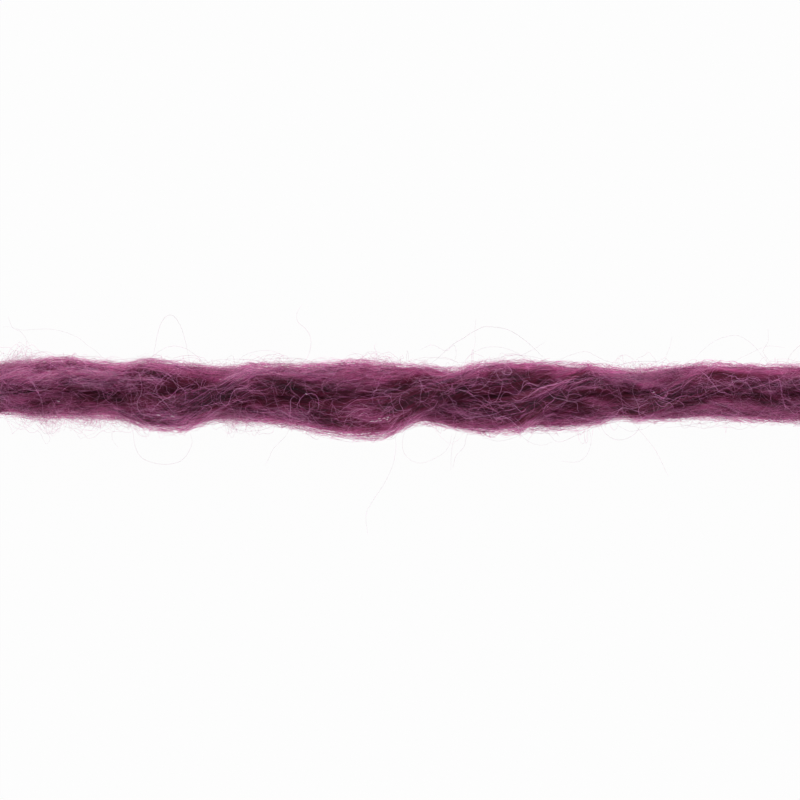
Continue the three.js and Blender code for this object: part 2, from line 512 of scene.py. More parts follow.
def along(table, column, x):
    """A column of a table at each x, on a smooth curve through its rows."""
    xs, ys = columns(table)["x"], columns(table)[column]
    step = np.diff(xs)
    slope = np.diff(ys) / step
    tangent = np.empty_like(ys)
    tangent[0], tangent[-1] = slope[0], slope[-1]
    tangent[1:-1] = (step[1:] * slope[:-1] + step[:-1] * slope[1:]) / (step[1:] + step[:-1])
    i = np.clip(np.searchsorted(xs, x) - 1, 0, len(step) - 1)
    t = np.clip((x - xs[i]) / step[i], 0, 1)
    rise = ys[i + 1] - ys[i]
    a = tangent[i] * step[i] - rise
    b = rise - tangent[i + 1] * step[i]
    return ys[i] + rise * t + t * (1 - t) * (a * (1 - t) + b * t)


class Strand:
    """Where the plies lie at any place along the strand, in millimetres."""

    # Distance between stations, places around each, and how many of these a valley is bridged by.
    FINE = 0.125
    AROUND = 120
    BRIDGE = 3
    # Keeps the end of the strand inside the last step between two stations.
    INSIDE = 1.001
    # Rounds in which turn_below closes in.
    ROUNDS = 8

    def __init__(self):
        self.x = np.arange(-LENGTH / 2, LENGTH / 2 + self.FINE / 2, self.FINE)
        self.lift = {}
        for node, above, below, turn in PLIES[1:]:
            top = np.radians(along(VALLEYS, above, self.x))
            bottom = np.radians(along(VALLEYS, below, self.x) + turn)
            self.lift[node] = ((top + bottom) / 2, (top - bottom) / 2)
        self.radius = np.ones_like(self.x)
        self.across = np.zeros_like(self.x)
        self.up = np.zeros_like(self.x)
        upper, lower = along(EDGES, "upper", self.x), along(EDGES, "lower", self.x)
        y, z = self.rings(SIDES)
        self.radius = (upper - lower) / (y.max((0, 2)) - y.min((0, 2)))
        y, z = self.rings(SIDES)
        self.across = (upper + lower - y.max((0, 2)) - y.min((0, 2))) / 2
        self.up = -z.min((0, 2)) - FLAT_DEPTH
        self.hull = self.outside()

    def rings(self, sides):
        """Points around every ply at every fine station: y and z, each (ply, x, side)."""
        angle = np.arange(sides) / sides * 2 * np.pi
        x = np.repeat(self.x[:, None], sides, 1)
        found = [self.point(p[0], x, np.broadcast_to(angle, x.shape), 1) for p in PLIES[1:]]
        return np.array([f[0] for f in found]), np.array([f[1] for f in found])

    def at(self, x, values):
        """Values of the fine stations, at any x."""
        return np.interp(x, self.x, values)

    def point(self, node, x, angle, depth, corner=CORNER, space=PLY_SPACE):
        """y and z of points in a ply. angle is about the ply's middle, from its outer side, and
        depth is 0 at its middle and 1 at its skin. A lower corner makes a rounder ply."""
        middle, half = (self.at(x, v) for v in self.lift[node])
        radius = self.at(x, self.radius)
        ply_radius = radius / (1 + PLY_PRESS / np.sin(half))
        centre = radius - ply_radius
        wall = centre * np.sin(half) - space / 2
        total = ply_radius**-corner
        for normal in (np.pi / 2 + half, -np.pi / 2 - half):
            total = total + np.maximum(0, np.cos(angle - normal) / wall) ** corner
        reach = depth * total ** (-1 / corner)
        y = centre * np.sin(middle) + reach * np.sin(middle + angle)
        z = LOFT * (centre * np.cos(middle) + reach * np.cos(middle + angle))
        return y + self.at(x, self.across), z + self.at(x, self.up)

    def outside(self):
        """The strand's outer radius by x and direction, bridging the valleys a little."""
        y, z = self.rings(self.AROUND)
        y, z = y - self.across[:, None], np.maximum(z, 0) - self.up[:, None]
        turn = np.arctan2(y, z) / (2 * np.pi) % 1
        far = np.hypot(y, z)
        hull = np.zeros((len(self.x), self.AROUND))
        cell = (turn * self.AROUND).astype(int) % self.AROUND
        rows = np.broadcast_to(np.arange(len(self.x))[:, None], cell.shape[1:])
        for k in range(len(y)):
            np.maximum.at(hull, (rows, cell[k]), far[k])
        near = range(-self.BRIDGE, self.BRIDGE + 1)
        hull = np.max([np.roll(hull, s, 1) for s in near], 0)
        return np.mean([np.roll(hull, s, 1) for s in near], 0)

    def reach(self, x, turn):
        """The outside's distance from the strand's middle. turn is 0 to 1 from the top by +Y."""
        row = np.clip((x + LENGTH / 2) / self.FINE, 0, len(self.x) - self.INSIDE)
        col = turn % 1 * self.AROUND
        i, j = row.astype(int), col.astype(int) % self.AROUND
        s, t = row - i, col - np.floor(col)
        k = (j + 1) % self.AROUND
        near = self.hull[i, j] * (1 - t) + self.hull[i, k] * t
        return near * (1 - s) + (self.hull[i + 1, j] * (1 - t) + self.hull[i + 1, k] * t) * s

    def over(self, x, turn, height):
        """y and z of points at a height over the strand's outside."""
        far = self.reach(x, turn) + height
        y = far * np.sin(turn * 2 * np.pi) + self.at(x, self.across)
        return y, far * np.cos(turn * 2 * np.pi) + self.at(x, self.up)

    def turn_of(self, x, y, z):
        """The turn about the strand's middle at which points lie."""
        return np.arctan2(y - self.at(x, self.across), z - self.at(x, self.up)) / (2 * np.pi)

    def turn_below(self, x, y, height):
        """The turn at which points at a height over the outside show at y from above."""
        turn = np.zeros(np.broadcast(x, y).shape)
        for _ in range(self.ROUNDS):
            aim = (y - self.at(x, self.across)) / (self.reach(x, turn) + height)
            turn = (turn + np.arcsin(np.clip(aim, -1, 1)) / (2 * np.pi)) / 2
        return turn


strand = Strand()


def photo_place(px, py, height=PHOTO_LEVEL):
    """x and y of what shows at a pixel of the photo, if it lies at a height over the table."""
    size = PHOTO_SCALE * (CAMERA_AWAY - height) / (CAMERA_AWAY - PHOTO_LEVEL)
    return (px - PHOTO_MIDDLE) * size + CAMERA_AIM[0], (PHOTO_MIDDLE - py) * size + CAMERA_AIM[1]


class Relief:
    """Openings or ridges over the strand: those that the photo shows, and more like them on the
    hidden side and past the photo's edges."""

    HIDDEN = 46
    HIDDEN_TURN = (0.27, 0.73)
    # How a form falls off from its middle. A higher power gives a firmer edge.
    FALL = 0.9
    FALL_POWER = 1.4

    def __init__(self, table, strength, seed):
        rows = columns(table)
        rng = np.random.default_rng(seed)
        pick = rng.integers(0, len(rows["px"]), self.HIDDEN)
        x, y = photo_place(rows["px"], rows["py"])
        more = rng.uniform(-LENGTH / 2, LENGTH / 2, self.HIDDEN)
        more_turn = rng.uniform(*self.HIDDEN_TURN, self.HIDDEN)
        past = np.abs(more) > PHOTO_SCALE * PHOTO_MIDDLE
        more_turn[past] = rng.random(past.sum())
        self.x = np.concatenate((x, more))
        self.turn = np.concatenate((strand.turn_below(x, y, 0), more_turn))
        joined = {n: np.concatenate((rows[n], rows[n][pick])) for n in rows}
        self.long, self.wide = joined["long"] * PHOTO_SCALE, joined["wide"] * PHOTO_SCALE
        self.tilt, self.much = np.radians(joined["tilt"]), joined[strength]

    def at(self, x, turn):
        """How strongly the openings or ridges act at points, from 0."""
        total = np.zeros(np.broadcast(x, turn).shape)
        around = 2 * np.pi * strand.at(x, strand.radius)
        for k, (c, s) in enumerate(zip(np.cos(self.tilt), np.sin(self.tilt))):
            ahead = x - self.x[k]
            aside = ((turn - self.turn[k] + 0.5) % 1 - 0.5) * around
            far = ((ahead * c + aside * s) / self.long[k]) ** 2
            far = far + ((aside * c - ahead * s) / self.wide[k]) ** 2
            form = self.much[k] * np.exp(-self.FALL * far**self.FALL_POWER)
            total = np.maximum(total, form)
        return total


def shows(rng, turn):
    """True for most fibres, and for fewer of those that lie on the surface under the strand."""
    under = np.abs((turn.mean(1) + 0.5) % 1 - 0.5) > UNDER_TURN
    return ~under | (rng.random(len(turn)) < UNDER_SHARE)


# Where the wool is opened: sunk, thinned and painted darker as shade.
openings = Relief(OPENINGS_AND_SHADE, "deep", 1)
# Where locks stand up: raised a little and painted paler as a highlight.
ridges = Relief(RIDGES_AND_HIGHLIGHTS, "high", 2)


def thinness_and_glow(x, turn):
    """How thin the wool is at points of the strand's sides, from 0. This also sets the painted
    glow there.
    """
    toward = np.sin(2 * np.pi * turn) ** SIDE_POWER + 0 * x
    under = np.clip(-UNDER_STEEP * np.cos(2 * np.pi * turn), 0, 1)
    toward *= 1 - (1 - UNDER_THIN_GLOW) * under
    total = np.maximum(UPPER_THIN_GLOW * toward, -LOWER_THIN_GLOW * toward)
    for px, side, long, thin in THIN_SIDES_AND_GLOW[1:]:
        away = (x - photo_place(px, 0)[0]) / (long * PHOTO_SCALE)
        total = np.maximum(total, thin * np.exp(-(away**2)) * side * toward)
    return total


def end_size(x):
    """How much of its size a ply keeps at x, near a rounded cut end."""
    inside = np.clip((LENGTH / 2 - np.abs(x)) / END_ROUND, 0, 1)
    return 1 - END_DRAW * (1 - np.sqrt(1 - (1 - inside) ** 2))


def ripple(rng, position, waves, longest, shortest):
    """A smooth random curve along position: a sum of waves, about -1 to 1. position is (n, m), and
    each of its n rows gets a curve of its own."""
    total = np.zeros(position.shape)
    for _ in range(waves):
        size = (len(position), 1)
        length = longest * (shortest / longest) ** rng.random(size)
        total += np.sin(2 * np.pi * (position / length + rng.random(size)))
    return total / math.sqrt(waves)


def evenly(path, count):
    """A path's points, spread evenly along it."""
    gone = np.concatenate(([0], np.cumsum(np.linalg.norm(np.diff(path, axis=0), axis=1))))
    spots = np.linspace(0, gone[-1], count)
    return np.stack([np.interp(spots, gone, path[:, k]) for k in range(path.shape[1])], -1)


def smooth_through(points, count, fine=12):
    """A smooth curve through points, as evenly spread points. fine is how many steps are worked
    out between two of the given points."""
    given = np.array(points, float)
    given = np.concatenate((2 * given[:1] - given[1:2], given, 2 * given[-1:] - given[-2:-1]))
    t = np.linspace(0, 1, fine, endpoint=False)[:, None]
    parts = []
    for a, b, c, d in zip(given, given[1:], given[2:], given[3:]):
        bend = (2 * a - 5 * b + 4 * c - d) * t**2 + (3 * b - a - 3 * c + d) * t**3
        parts.append(b + (c - a) * t / 2 + bend / 2)
    return evenly(np.concatenate((*parts, given[-2:-1])), count)


def wander(rng, steps, length, heading, curl, waves):
    """Paths that wander over a flat sheet, about 0: headings in radians and curl in radians for
    each millimetre. waves is how many waves the curl has, and their longest and shortest."""
    step = length[:, None] / (steps - 1)
    bend = ripple(rng, step * np.arange(steps), *waves) * curl[:, None]
    way = heading[:, None] + np.cumsum(bend * step, 1)
    way -= way.mean(1, keepdims=True) - heading[:, None]
    u, v = np.cumsum(np.cos(way) * step, 1), np.cumsum(np.sin(way) * step, 1)
    return u - u.mean(1, keepdims=True), v - v.mean(1, keepdims=True)


def places(rng, count, margin=0):
    """Random places along the strand, no nearer to its ends than the margin."""
    return rng.uniform(-LENGTH / 2 + margin, LENGTH / 2 - margin, count)


def wrapped(rng, place, ahead, aside, past=0):
    """x and turn of wandering paths that are wrapped about the strand, at places along it and at
    random turns. past is how far they may stand out past its ends."""
    x = np.clip(place[:, None] + ahead, -LENGTH / 2 - past, LENGTH / 2 + past)
    around = 2 * np.pi * strand.at(place, strand.radius)
    return x, rng.random(len(place))[:, None] + aside / around[:, None]


def laid(x, turn, height):
    """Paths over the strand's outside."""
    y, z = strand.over(x, turn, height)
    return np.stack((x, y, np.maximum(z, LINE_FLOOR)), -1)


def standing(rng, top, root, steps):
    """Heights along fibres that rise from a root to their top. Half of them come down again."""
    rise = np.where(rng.random(len(top)) < 0.5, 1.0, 2.0)[:, None]
    return root + (top - root)[:, None] * np.sin(np.pi / 2 * np.linspace(0, 1, steps) * rise)


# Meshes


def new_mesh(name, points, corners, sizes, uv, tone):
    """A smooth mesh object from arrays, with the bake's map and each point's fibre tone."""
    mesh = bpy.data.meshes.new(name)
    mesh.vertices.add(len(points))
    mesh.vertices.foreach_set("co", (points * MM).astype(np.float32).ravel())
    mesh.loops.add(len(corners))
    mesh.loops.foreach_set("vertex_index", corners.astype(np.int32))
    mesh.polygons.add(len(sizes))
    starts = np.concatenate(([0], np.cumsum(sizes)[:-1]))
    mesh.polygons.foreach_set("loop_start", starts.astype(np.int32))
    mesh.update(calc_edges=True)
    mesh.polygons.foreach_set("use_smooth", np.ones(len(sizes), bool))
    layer = mesh.uv_layers.new(name="OFBake")
    layer.uv.foreach_set("vector", uv.astype(np.float32).ravel())
    shade = mesh.attributes.new("tone", "FLOAT", "POINT")
    shade.data.foreach_set("value", tone.astype(np.float32).ravel())
    piece = bpy.data.objects.new(name, mesh)
    bpy.context.scene.collection.objects.link(piece)
    return piece


def fibre_mesh(name, rng, paths, thick, tone):
    """Closed tubes along paths (fibre, step, xyz), thick at their middle and finer at their tips.
    thick is one number for each fibre, and tone one for each fibre or each point."""
    count, steps, _ = paths.shape
    sides = TUBE_SIDES
    way = np.gradient(paths, axis=1)
    way /= np.linalg.norm(way, axis=2, keepdims=True) + TINY
    side = np.cross(way[:, 0], rng.normal(size=(count, 3)))
    frames = []
    for m in range(steps):
        side = side - (side * way[:, m]).sum(1, keepdims=True) * way[:, m]
        side /= np.linalg.norm(side, axis=1, keepdims=True) + TINY
        frames.append(side)
    side = np.stack(frames, 1)
    other = np.cross(way, side)
    share = np.linspace(-1, 1, steps)
    girth = thick[:, None] / 2 * (1 - TIP_LOSS * share**TIP_POWER)
    turn = np.arange(sides) / sides * 2 * np.pi
    ring = side[:, :, None] * np.cos(turn)[:, None] + other[:, :, None] * np.sin(turn)[:, None]
    points = paths[:, :, None] + girth[:, :, None, None] * ring
    points[..., 2] = np.maximum(points[..., 2], SKIN_FLOOR)
    number = np.arange(count * steps * sides).reshape(count, steps, sides)
    after = np.roll(number, -1, 2)
    quads = np.stack((number[:, :-1], after[:, :-1], after[:, 1:], number[:, 1:]), -1)
    quads = quads.reshape(-1, 4)
    caps = np.concatenate((number[:, 0, ::-1], number[:, -1]))
    corners = np.concatenate((quads.ravel(), caps.ravel()))
    sizes = np.concatenate((np.full(len(quads), 4), np.full(len(caps), 3)))
    across = math.ceil(math.sqrt(count / CELL_STRETCH))
    down = math.ceil(count / across)
    cell = np.arange(count)
    left, low = cell % across, cell // across
    start, short = CELL_ALONG
    u = (left[:, None, None] + (np.arange(steps)[:, None] + start) / (steps - short)) / across
    start, wide = CELL_ACROSS
    v = (low[:, None, None] + start + wide * np.arange(sides + 1) / sides) / down
    spot = np.stack(np.broadcast_arrays(u, v), -1)
    square = (spot[:, :-1, :-1], spot[:, :-1, 1:], spot[:, 1:, 1:], spot[:, 1:, :-1])
    quad_uv = np.stack(square, 3)
    cap_uv = np.concatenate((spot[:, 0, sides - 1 :: -1], spot[:, -1, :sides]))
    uv = np.concatenate((quad_uv.reshape(-1, 2), cap_uv.reshape(-1, 2)))
    tone = tone[:, None] if tone.ndim == 1 else tone
    shade = np.repeat(np.broadcast_to(tone, (count, steps)), sides)
    shade = np.clip(shade, 0, LIGHTEST)
    return new_mesh(name, points.reshape(-1, 3), corners, sizes, uv, shade)


# Sizes and colours that a user would change


class YarnFibres(bpy.types.PropertyGroup):
    """How many fibres the strand has, and how thick they are."""

    core_depth: bpy.props.FloatProperty(
        name="Core depth",
        description="Share of a ply's thickness that its dense core fills",
        default=0.77,
        min=0.5,
        max=1,
        subtype="FACTOR",
    )
    locks: bpy.props.IntProperty(
        name="Locks",
        description="Bundles of fibres laid along each ply",
        default=205,
        min=1,
    )
    lock_fibres: bpy.props.IntProperty(
        name="Fibres in a lock",
        description="Fibres in each bundle",
        default=15,
        min=1,
    )
    wraps: bpy.props.IntProperty(
        name="Wandering fibres",
        description="Fibres that cross from ply to ply",
        default=3400,
        min=1,
    )
    coat_thickness: bpy.props.FloatProperty(
        name="Fibre thickness",
        description="Thickness of a fibre in the coat",
        default=0.038 * MM,
        unit="LENGTH",
        precision=6,
    )
    strays: bpy.props.IntProperty(
        name="Stray fibres",
        description="Curly fibres over the strand, besides those of the photo",
        default=1000,
        min=1,
    )
    stray_thickness: bpy.props.FloatProperty(
        name="Stray thickness",
        description="Thickness of a curly stray fibre",
        default=0.033 * MM,
        unit="LENGTH",
        precision=6,
    )
    fuzz: bpy.props.IntProperty(
        name="Fuzz",
        description="Short fibres that stand out all round, in each half of the strand",
        default=5600,
        min=1,
    )
    fuzz_thickness: bpy.props.FloatProperty(
        name="Fuzz thickness",
        description="Thickness of a short fuzz fibre",
        default=0.023 * MM,
        unit="LENGTH",
        precision=6,
    )
    wisps: bpy.props.IntProperty(
        name="Wisps",
        description="Curly fibres that stand out in tufts beside the strand",
        default=3800,
        min=1,
    )
    halo: bpy.props.IntProperty(
        name="Floating fibres",
        description="Long thin fibres beside the strand, besides those of the photo",
        default=64,
        min=1,
    )
    halo_thickness: bpy.props.FloatProperty(
        name="Floating thickness",
        description="Thickness of a floating fibre",
        default=0.014 * MM,
        unit="LENGTH",
        precision=6,
    )
    end_fibres: bpy.props.IntProperty(
        name="End fibres",
        description="Frayed fibres at each cut end of a ply",
        default=160,
        min=1,
    )
    seed: bpy.props.IntProperty(
        name="Seed",
        description="Starts the random places of the fibres",
        default=7,
    )


class YarnColours(bpy.types.PropertyGroup):
    """Colours of the dyed wool."""

    # The darkest fibres, and the colour that painted shade in the openings and deep in the coat
    # goes towards.
    deep: bpy.props.FloatVectorProperty(
        name="Deep wool",
        description="Dyed wool deep in the valleys and in the darkest fibres",
        default=(0.026, 0.015, 0.02),
        subtype="COLOR",
        min=0,
        max=1,
    )
    body: bpy.props.FloatVectorProperty(
        name="Body wool",
        description="Dyed wool of most fibres",
        default=(0.16, 0.0195, 0.052),
        subtype="COLOR",
        min=0,
        max=1,
    )
    pale: bpy.props.FloatVectorProperty(
        name="Pale wool",
        description="Fibres that took less dye",
        default=(0.74, 0.155, 0.41),
        subtype="COLOR",
        min=0,
        max=1,
    )
    # The colour past pale: painted highlights on the high ridges and painted glow at the thinnest
    # sides, and a few of the palest stray fibres.
    light: bpy.props.FloatVectorProperty(
        name="Light wool",
        description="The fibres that took least dye, in the light",
        default=(0.95, 0.36, 0.66),
        subtype="COLOR",
        min=0,
        max=1,
    )
    # The colour of the painted glints, near-white flecks that stand in for glints of light.
    painted_glint: bpy.props.FloatVectorProperty(
        name="Undyed wool",
        description="The few flecks that took no dye",
        default=(1.0, 0.82, 0.94),
        subtype="COLOR",
        min=0,
        max=1,
    )


class YarnStage(bpy.types.PropertyGroup):
    """Table, light and camera."""

    table: bpy.props.FloatVectorProperty(
        name="Table",
        description="Colour of the white table",
        default=(0.02, 0.02, 0.02),
        subtype="COLOR",
        min=0,
        max=1,
    )
    side: bpy.props.FloatProperty(
        name="Side light",
        description="Strength of the soft light from low down on all sides",
        default=2.6,
        min=0,
    )
    overhead: bpy.props.FloatProperty(
        name="Overhead light",
        description="Strength of the soft light from above",
        default=0.56,
        min=0,
    )
    window: bpy.props.FloatProperty(
        name="Window side",
        description="How much stronger the light is on the +Y side than on average",
        default=0.4,
        min=0,
        max=1,
    )
    backdrop: bpy.props.FloatProperty(
        name="Backdrop",
        description="Brightness of the white behind the table",
        default=0.97,
        min=0,
    )
    glow: bpy.props.FloatProperty(
        name="Table light",
        description="Strength of the light that comes up through the table",
        default=1.8,
        min=0,
    )


# Materials

VALUE, COLOUR, PLACE = "NodeSocketFloat", "NodeSocketColor", "NodeSocketVector"

# The wool's colours, and the tone at which each shows alone.
WOOL_TONES = (("Deep", 0.0), ("Body", 0.5), ("Pale", 1.0), ("Light", LIGHTEST))

# How every wool takes the light, by the inputs of its surface.
WOOL_SURFACE = {
    "Roughness": 0.8,
    "Specular IOR Level": 0.06,
    "Subsurface Weight": 0.85,
    "Subsurface Radius": (1.0, 0.5, 0.75),
    "Sheen Roughness": 0.4,
    "Sheen Tint": (1.0, 0.72, 0.88, 1.0),
}
LIGHT_DEPTH = 0.15 * MM

# Scale of the uneven dye, in patches for each metre.
DYE_SCALE = 350

# Streaks of the dense wool: how many fit along and across the bake's map, the scale of the waves
# that bend them, how far they are bent, and the range of the noise that they are cut from.
STREAKS_ALONG = 60
STREAKS_ACROSS = 330
STREAK_WAVES = 260.0
STREAK_BEND = (0.0, 0.02, 0.0)
STREAK_RANGE = (0.3, 0.7)


def linked(tree, kind, inputs, **settings):
    """A new node in the tree. Each of its inputs that is given is linked to another node's output
    or set to a value."""
    node = tree.nodes.new(kind)
    for name, value in settings.items():
        setattr(node, name, value)
    for name, value in inputs.items():
        if isinstance(value, bpy.types.NodeSocket):
            tree.links.new(value, node.inputs[name])
        else:
            node.inputs[name].default_value = value
    return node


def to_camera(tree, shown, otherwise):
    """A value for what the camera sees, and another one for all other light."""
    ray = tree.nodes.new("ShaderNodeLightPath")
    values = {"Factor": ray.outputs["Is Camera Ray"], "A": otherwise, "B": shown}
    return linked(tree, "ShaderNodeMix", values).outputs[0]


def new_group(name, inputs, output):
    """A node group with its inputs and its one output, each a label and a kind of socket, and the
    sockets inside it that they lead to."""
    tree = bpy.data.node_groups.new(name, "ShaderNodeTree")
    for label, kind in inputs:
        tree.interface.new_socket(label, in_out="INPUT", socket_type=kind)
    tree.interface.new_socket(output[0], in_out="OUTPUT", socket_type=output[1])
    given, out = tree.nodes.new("NodeGroupInput"), tree.nodes.new("NodeGroupOutput")
    return tree, given.outputs, out.inputs


def wool_group():
    """Dyed wool: colour by a tone from 0, deep, to 1, pale, and on to 1.5, light, with uneven dye
    along the strand. Besides the wool's own tone, the tone carries painted shade, highlights and
    glow."""
    name = "Dyed wool"
    if name in bpy.data.node_groups:
        return bpy.data.node_groups[name]
    colours = [(label, COLOUR) for label, _ in WOOL_TONES]
    inputs = [("Tone", VALUE), *colours, ("Dye scale", VALUE), ("Dye change", VALUE)]
    tree, given, out = new_group(name, inputs, ("Colour", COLOUR))
    place = tree.nodes.new("ShaderNodeTexCoord").outputs["Object"]
    patches = {"Vector": place, "Scale": given["Dye scale"], "Detail": 3.0, "Roughness": 0.6}
    dye = linked(tree, "ShaderNodeTexNoise", patches).outputs["Fac"]
    centred = linked(tree, "ShaderNodeMath", {0: dye, 1: 0.5}, operation="SUBTRACT").outputs[0]
    change = {0: centred, 1: given["Dye change"], 2: given["Tone"]}
    tone = linked(tree, "ShaderNodeMath", change, operation="MULTIPLY_ADD").outputs[0]
    colour = given["Deep"]
    for (_, low), (label, high) in zip(WOOL_TONES, WOOL_TONES[1:]):
        span = {"Value": tone, "From Min": low, "From Max": high}
        share = linked(tree, "ShaderNodeMapRange", span).outputs["Result"]
        blend = {"Factor": share, "A": colour, "B": given[label]}
        colour = linked(tree, "ShaderNodeMix", blend, data_type="RGBA").outputs["Result"]
    tree.links.new(colour, out["Colour"])
    return tree


def streak_group():
    """Fine streaks along the fibres: 0 to 1, on a map whose u runs along them."""
    name = "Fibre streaks"
    if name in bpy.data.node_groups:
        return bpy.data.node_groups[name]
    inputs = [("Map", PLACE), ("Streaks along", VALUE), ("Streaks across", VALUE)]
    tree, given, out = new_group(name, inputs, ("Streaks", VALUE))
    place = tree.nodes.new("ShaderNodeTexCoord").outputs["Object"]
    bends = {"Vector": place, "Scale": STREAK_WAVES, "Detail": 1.0}
    waves = linked(tree, "ShaderNodeTexNoise", bends).outputs["Color"]
    shift = {0: waves, 1: STREAK_BEND, 2: given["Map"]}
    bent = linked(tree, "ShaderNodeVectorMath", shift, operation="MULTIPLY_ADD").outputs[0]
    counts = {"X": given["Streaks along"], "Y": given["Streaks across"]}
    scale = linked(tree, "ShaderNodeCombineXYZ", counts).outputs[0]
    sized = linked(tree, "ShaderNodeVectorMath", {0: bent, 1: scale}, operation="MULTIPLY")
    lines = {"Vector": sized.outputs[0], "Scale": 1.0, "Detail": 2.0, "Roughness": 0.6}
    noise = linked(tree, "ShaderNodeTexNoise", lines).outputs["Fac"]
    span = {"Value": noise, "From Min": STREAK_RANGE[0], "From Max": STREAK_RANGE[1]}
    sharper = linked(tree, "ShaderNodeMapRange", span)
    tree.links.new(sharper.outputs["Result"], out["Streaks"])
    return tree


def add_streaks(material, streak_tone, depth):
    """Streaks the dense wool's colour and raises them."""
    tree = material.node_tree
    surface, wool, tone = (tree.nodes[name] for name in ("Principled BSDF", "Dyed wool", "Tone"))
    given = tree.nodes.new("ShaderNodeUVMap")
    given.uv_map = "OFBake"
    counts = {"Streaks along": STREAKS_ALONG, "Streaks across": STREAKS_ACROSS}
    group = {"Map": given.outputs["UV"], **counts}
    streaks = linked(tree, "ShaderNodeGroup", group, node_tree=streak_group()).outputs["Streaks"]
    change = {0: streaks, 1: streak_tone, 2: tone.outputs["Fac"]}
    streaked = linked(tree, "ShaderNodeMath", change, operation="MULTIPLY_ADD")
    tree.links.new(streaked.outputs[0], wool.inputs["Tone"])
    bump = linked(tree, "ShaderNodeBump", {"Strength": 1.0, "Distance": depth, "Height": streaks})
    tree.links.new(bump.outputs["Normal"], surface.inputs["Normal"])
    return material


def wool_material(name, dye_change, sheen, dye_scale=DYE_SCALE, light_depth=LIGHT_DEPTH):
    """A matt wool whose tone comes from the mesh. light_depth is how far light gets into it."""
    colours = bpy.context.scene.yarn_colours
    material = bpy.data.materials.new(name)
    material.use_nodes = True
    tree = material.node_tree
    surface = tree.nodes["Principled BSDF"]
    surface.subsurface_method = "RANDOM_WALK"
    look = {**WOOL_SURFACE, "Subsurface Scale": light_depth, "Sheen Weight": sheen}
    for label, value in look.items():
        surface.inputs[label].default_value = value
    tone = tree.nodes.new("ShaderNodeAttribute")
    tone.name, tone.attribute_name = "Tone", "tone"
    dye = {"Tone": tone.outputs["Fac"], "Dye scale": dye_scale, "Dye change": dye_change}
    wool = linked(tree, "ShaderNodeGroup", dye, node_tree=wool_group())
    wool.name = "Dyed wool"
    for label, _ in WOOL_TONES:
        wool.inputs[label].default_value = (*getattr(colours, label.lower()), 1.0)
    tree.links.new(wool.outputs["Colour"], surface.inputs["Base Color"])
    return material


def wool_piece(piece, material):
    """Finishes a piece of the strand: its material and body, and the core it lies on."""
    piece.data.materials.append(material)
    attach(piece, "root")
    if piece.name != CORE:
        piece.parent = bpy.data.objects[CORE]


# Pieces

# In these, sizes are in millimetres, turns count from the top and headings are in radians. Names
# that end in WAVES hold how many waves there are, and their longest and shortest length.


class YARN_OT_stage(bpy.types.Operator):
    """Makes the table, the light and the camera."""

    bl_idname = "yarn.stage"
    bl_label = "Table, light and camera"

    TABLE_SIDE = 3.0
    SIDE_LIGHT_POWER = 5.0
    CLIP = (0.01, 10)

    def execute(self, context):
        self.set_camera(context.scene)
        self.lay_table(context.scene)
        self.set_light(context.scene)
        return {"FINISHED"}

    def set_camera(self, scene):
        """Stands the camera straight over the strand."""
        camera = bpy.data.cameras.new("camera")
        camera.lens, camera.sensor_width = LENS, SENSOR
        camera.clip_start, camera.clip_end = self.CLIP
        view = bpy.data.objects.new("camera", camera)
        view.location = (CAMERA_AIM[0] * MM, CAMERA_AIM[1] * MM, CAMERA_AWAY * MM)
        scene.collection.objects.link(view)
        scene.camera = view

    def lay_table(self, scene):
        """Lays the white table, lit from below."""
        stage = scene.yarn_stage
        half = self.TABLE_SIDE / 2
        mesh = bpy.data.meshes.new("table")
        mesh.from_pydata(
            [(-half, -half, 0), (half, -half, 0), (half, half, 0), (-half, half, 0)],
            [],
            [(0, 1, 2, 3)],
        )
        table = bpy.data.objects.new("table", mesh)
        scene.collection.objects.link(table)
        white = bpy.data.materials.new("white table")
        white.use_nodes = True
        tree = white.node_tree
        surface = tree.nodes["Principled BSDF"]
        surface.inputs["Base Color"].default_value = (*stage.table, 1)
        surface.inputs["Roughness"].default_value = 1.0
        surface.inputs["Specular IOR Level"].default_value = 0.0
        surface.inputs["Emission Color"].default_value = (1, 1, 1, 1)
        strength = to_camera(tree, stage.backdrop, stage.glow)
        tree.links.new(strength, surface.inputs["Emission Strength"])
        mesh.materials.append(white)

    def set_light(self, scene):
        """Lights the room, most from low down and from the window side."""
        stage = scene.yarn_stage
        world = bpy.data.worlds.new("room")
        world.use_nodes = True
        tree = world.node_tree
        place = tree.nodes.new("ShaderNodeTexCoord").outputs["Generated"]
        way = linked(tree, "ShaderNodeSeparateXYZ", {0: place}).outputs
        down = {"Value": way["Z"], "To Min": 1, "To Max": 0}
        low = linked(tree, "ShaderNodeMapRange", down).outputs[0]
        narrow = {0: low, 1: self.SIDE_LIGHT_POWER}
        band = linked(tree, "ShaderNodeMath", narrow, operation="POWER").outputs[0]
        levels = {"Value": band, "To Min": stage.overhead, "To Max": stage.side}
        strength = linked(tree, "ShaderNodeMapRange", levels).outputs[0]
        sides = {"From Min": -1, "To Min": 1 - stage.window, "To Max": 1 + stage.window}
        window = linked(tree, "ShaderNodeMapRange", {"Value": way["Y"], **sides}).outputs[0]
        both = {0: strength, 1: window}
        uneven = linked(tree, "ShaderNodeMath", both, operation="MULTIPLY").outputs[0]
        background = tree.nodes["Background"]
        background.inputs["Color"].default_value = (1, 1, 1, 1)
        shown = to_camera(tree, stage.backdrop, uneven)
        tree.links.new(shown, background.inputs["Strength"])
        scene.world = world
        scene.view_settings.view_transform = "Standard"


